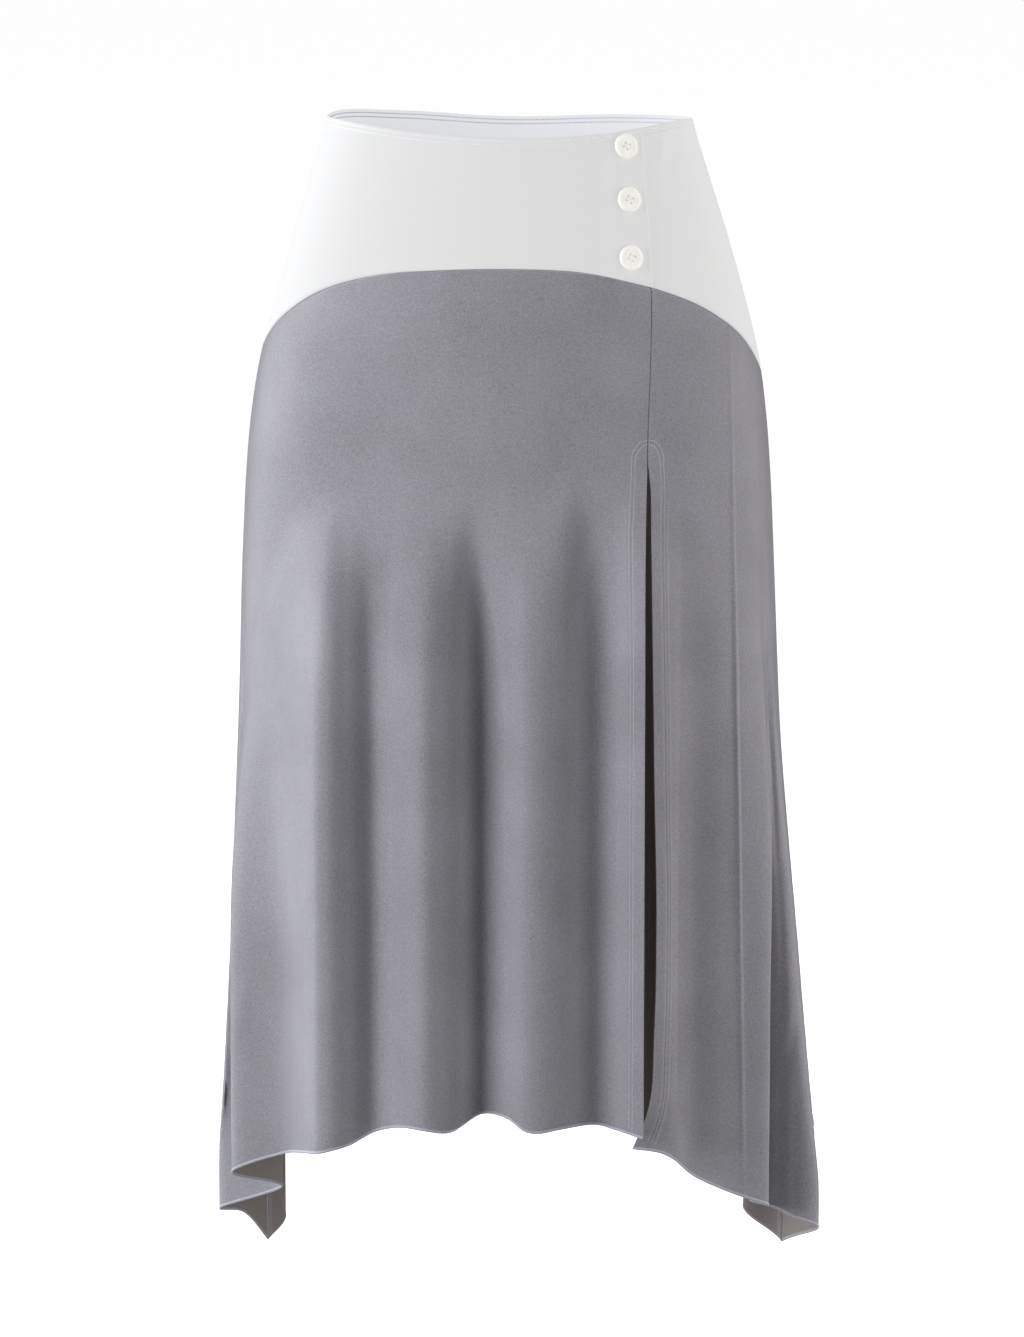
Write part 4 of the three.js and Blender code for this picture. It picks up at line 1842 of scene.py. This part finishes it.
    def build(self, wardrobe: Wardrobe) -> None:
        """Models one button and its thread, and copies them to their places.

        Args:
            wardrobe: where the materials come from.
        """
        samples = {
            "": (self._disc(), IVORY_RESIN, Slot.IVORY, 35),
            "_thread": (self._knot(), BUTTON_THREAD, Slot.WHITE, 60),
            "_shaded_shanks": (self._shaded_shanks(), SHADED_THREAD, Slot.WHITE, 60),
        }
        for place in self.places:
            seat = self._seat(place)
            for suffix, (sample, finish, slot, smooth_angle) in samples.items():
                piece = bpy.data.objects.new(place.name + suffix, sample.data.copy())
                bpy.context.scene.collection.objects.link(piece)
                piece.data.transform(seat)
                piece.data.materials.clear()
                piece.data.materials.append(wardrobe.get(finish))
                Bench.pick(piece)
                bpy.ops.object.shade_smooth_by_angle(angle=math.radians(smooth_angle))
                hold(piece)
                if not suffix:
                    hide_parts(place.node)
                log.info("%s: %d faces", piece.name, len(piece.data.polygons))
        for sample, *_ in samples.values():
            bpy.data.objects.remove(sample, do_unlink=True)


COOL_LIGHT = (0.985, 0.995, 1.02)
WARM_LIGHT = (1.015, 1.0, 0.985)
LOW_LIGHT = (1.12, 1.0, 0.9)


@dataclass(frozen=True)
class SoftLight:
    """A square soft light that stands round the skirt and points at its middle.

    Attributes:
        name: its name.
        turn: degrees from the front, to the right in the front view.
        rise: degrees above the level of the skirt's middle.
        power: its power in watts.
        colour: its tint.
        distance: how far it stands, in metres.
        size: its side, in metres.
    """

    name: str
    turn: float
    rise: float
    power: float
    colour: Colour = (1.0, 1.0, 1.0)
    distance: float = 3.6
    size: float = 1.6

    AIM = Vector((0.0, 0.0, -0.4))

    def build(self) -> None:
        """Adds the light."""
        data = bpy.data.lights.new(self.name, "AREA")
        data.shape = "SQUARE"
        data.size = self.size
        data.energy = self.power
        data.color = self.colour
        light = bpy.data.objects.new(self.name, data)
        turn = math.radians(self.turn)
        rise = math.radians(self.rise)
        away = Vector((math.sin(turn) * math.cos(rise), -math.cos(turn) * math.cos(rise), math.sin(rise)))
        light.location = self.AIM + away * self.distance
        light.rotation_euler = (-away).to_track_quat("-Z", "Y").to_euler()
        bpy.context.scene.collection.objects.link(light)


@dataclass
class Studio:
    """A plain white studio with soft lights and the camera of the photo's view.

    Attributes:
        floor_height: height of the floor, in metres.
        floor_side: its side, in metres.
        ambient: strength of the light from all round.
        lights: the soft lights.
        camera_place: where the camera stands, in metres.
        camera_tilt: degrees that it looks down.
        millimetres_per_pixel: size of a pixel of the photo at the middle of the skirt.
        image_height: height of the photo in pixels.
        sensor: the camera's sensor, in millimetres.
    """

    floor_height: float = -1.12
    floor_side: float = 60.0
    ambient: float = 0.1
    lights: tuple[SoftLight, ...] = (
        SoftLight("rim_left", -118, 8, 118.0, COOL_LIGHT),
        SoftLight("key_left", -54, 17, 153.0, COOL_LIGHT),
        SoftLight("low_front", 0, -45, 27.0, LOW_LIGHT),
        SoftLight("rim_right", 98, 8, 84.0, WARM_LIGHT),
        SoftLight("fill_right", 62, 2, 56.0, WARM_LIGHT),
    )
    camera_place: tuple[float, float, float] = (0.00148, -4.6, 0.4)
    camera_tilt: float = 10.06
    millimetres_per_pixel: float = 0.74
    image_height: int = 1337
    sensor: float = 36.0

    def build(self) -> None:
        """Sets up the world, floor, lights and camera."""
        self._world()
        self._floor()
        for light in self.lights:
            light.build()
        self._camera()

    def _world(self) -> None:
        """Surrounds the scene with white, which lights it softly."""
        world = bpy.data.worlds.new("white surround")
        bpy.context.scene.world = world
        world.use_nodes = True
        tree = NodeTree(world.node_tree)
        seen = tree.add("ShaderNodeLightPath").outputs["Is Camera Ray"]
        strength = tree.maths("ADD", tree.maths("MULTIPLY", seen, 1 - self.ambient), self.ambient)
        white = tree.add("ShaderNodeBackground", {"Color": (1.0, 1.0, 1.0, 1.0), "Strength": strength})
        tree.add("ShaderNodeOutputWorld", {0: white.outputs[0]})
        bpy.context.scene.view_settings.view_transform = "Standard"

    def _floor(self) -> None:
        """Lays the pale floor, well below the hem, as a wearer would stand."""
        half = self.floor_side / 2 / MM
        z = self.floor_height / MM
        corners = [(-half, -half, z), (half, -half, z), (half, half, z), (-half, half, z)]
        floor = mesh_object("floor", np.array(corners), [[0, 1, 2, 3]], smooth=False)
        material, tree = new_material("pale_floor")
        matt = tree.add("ShaderNodeBsdfDiffuse", {"Color": (0.86, 0.86, 0.86, 1.0)})
        glow = tree.add("ShaderNodeEmission", {"Color": (1.0, 1.0, 1.0, 1.0), "Strength": 0.9})
        both = tree.add("ShaderNodeAddShader", {0: matt.outputs[0], 1: glow.outputs[0]})
        tree.add("ShaderNodeOutputMaterial", {0: both.outputs[0]})
        floor.data.materials.append(material)
        floor.visible_diffuse = False

    def _camera(self) -> None:
        """Places the camera at the photo's distance, height and tilt."""
        data = bpy.data.cameras.new("camera")
        focal_pixels = -self.camera_place[1] / MM / self.millimetres_per_pixel
        data.sensor_width = self.sensor
        data.lens = focal_pixels * self.sensor / self.image_height
        data.clip_end = 200.0
        camera = bpy.data.objects.new("camera", data)
        camera.location = self.camera_place
        camera.rotation_euler = (math.radians(90 - self.camera_tilt), 0.0, 0.0)
        bpy.context.scene.collection.objects.link(camera)
        bpy.context.scene.camera = camera


def main() -> None:
    """Builds the skirt and its studio."""
    logging.basicConfig(level=logging.INFO, format="%(message)s")
    wardrobe = Wardrobe()
    Yoke().build(wardrobe)
    SkirtCloth().build(wardrobe)
    ButtonSet().build(wardrobe)
    Studio().build()


if __name__ == "__main__":
    main()
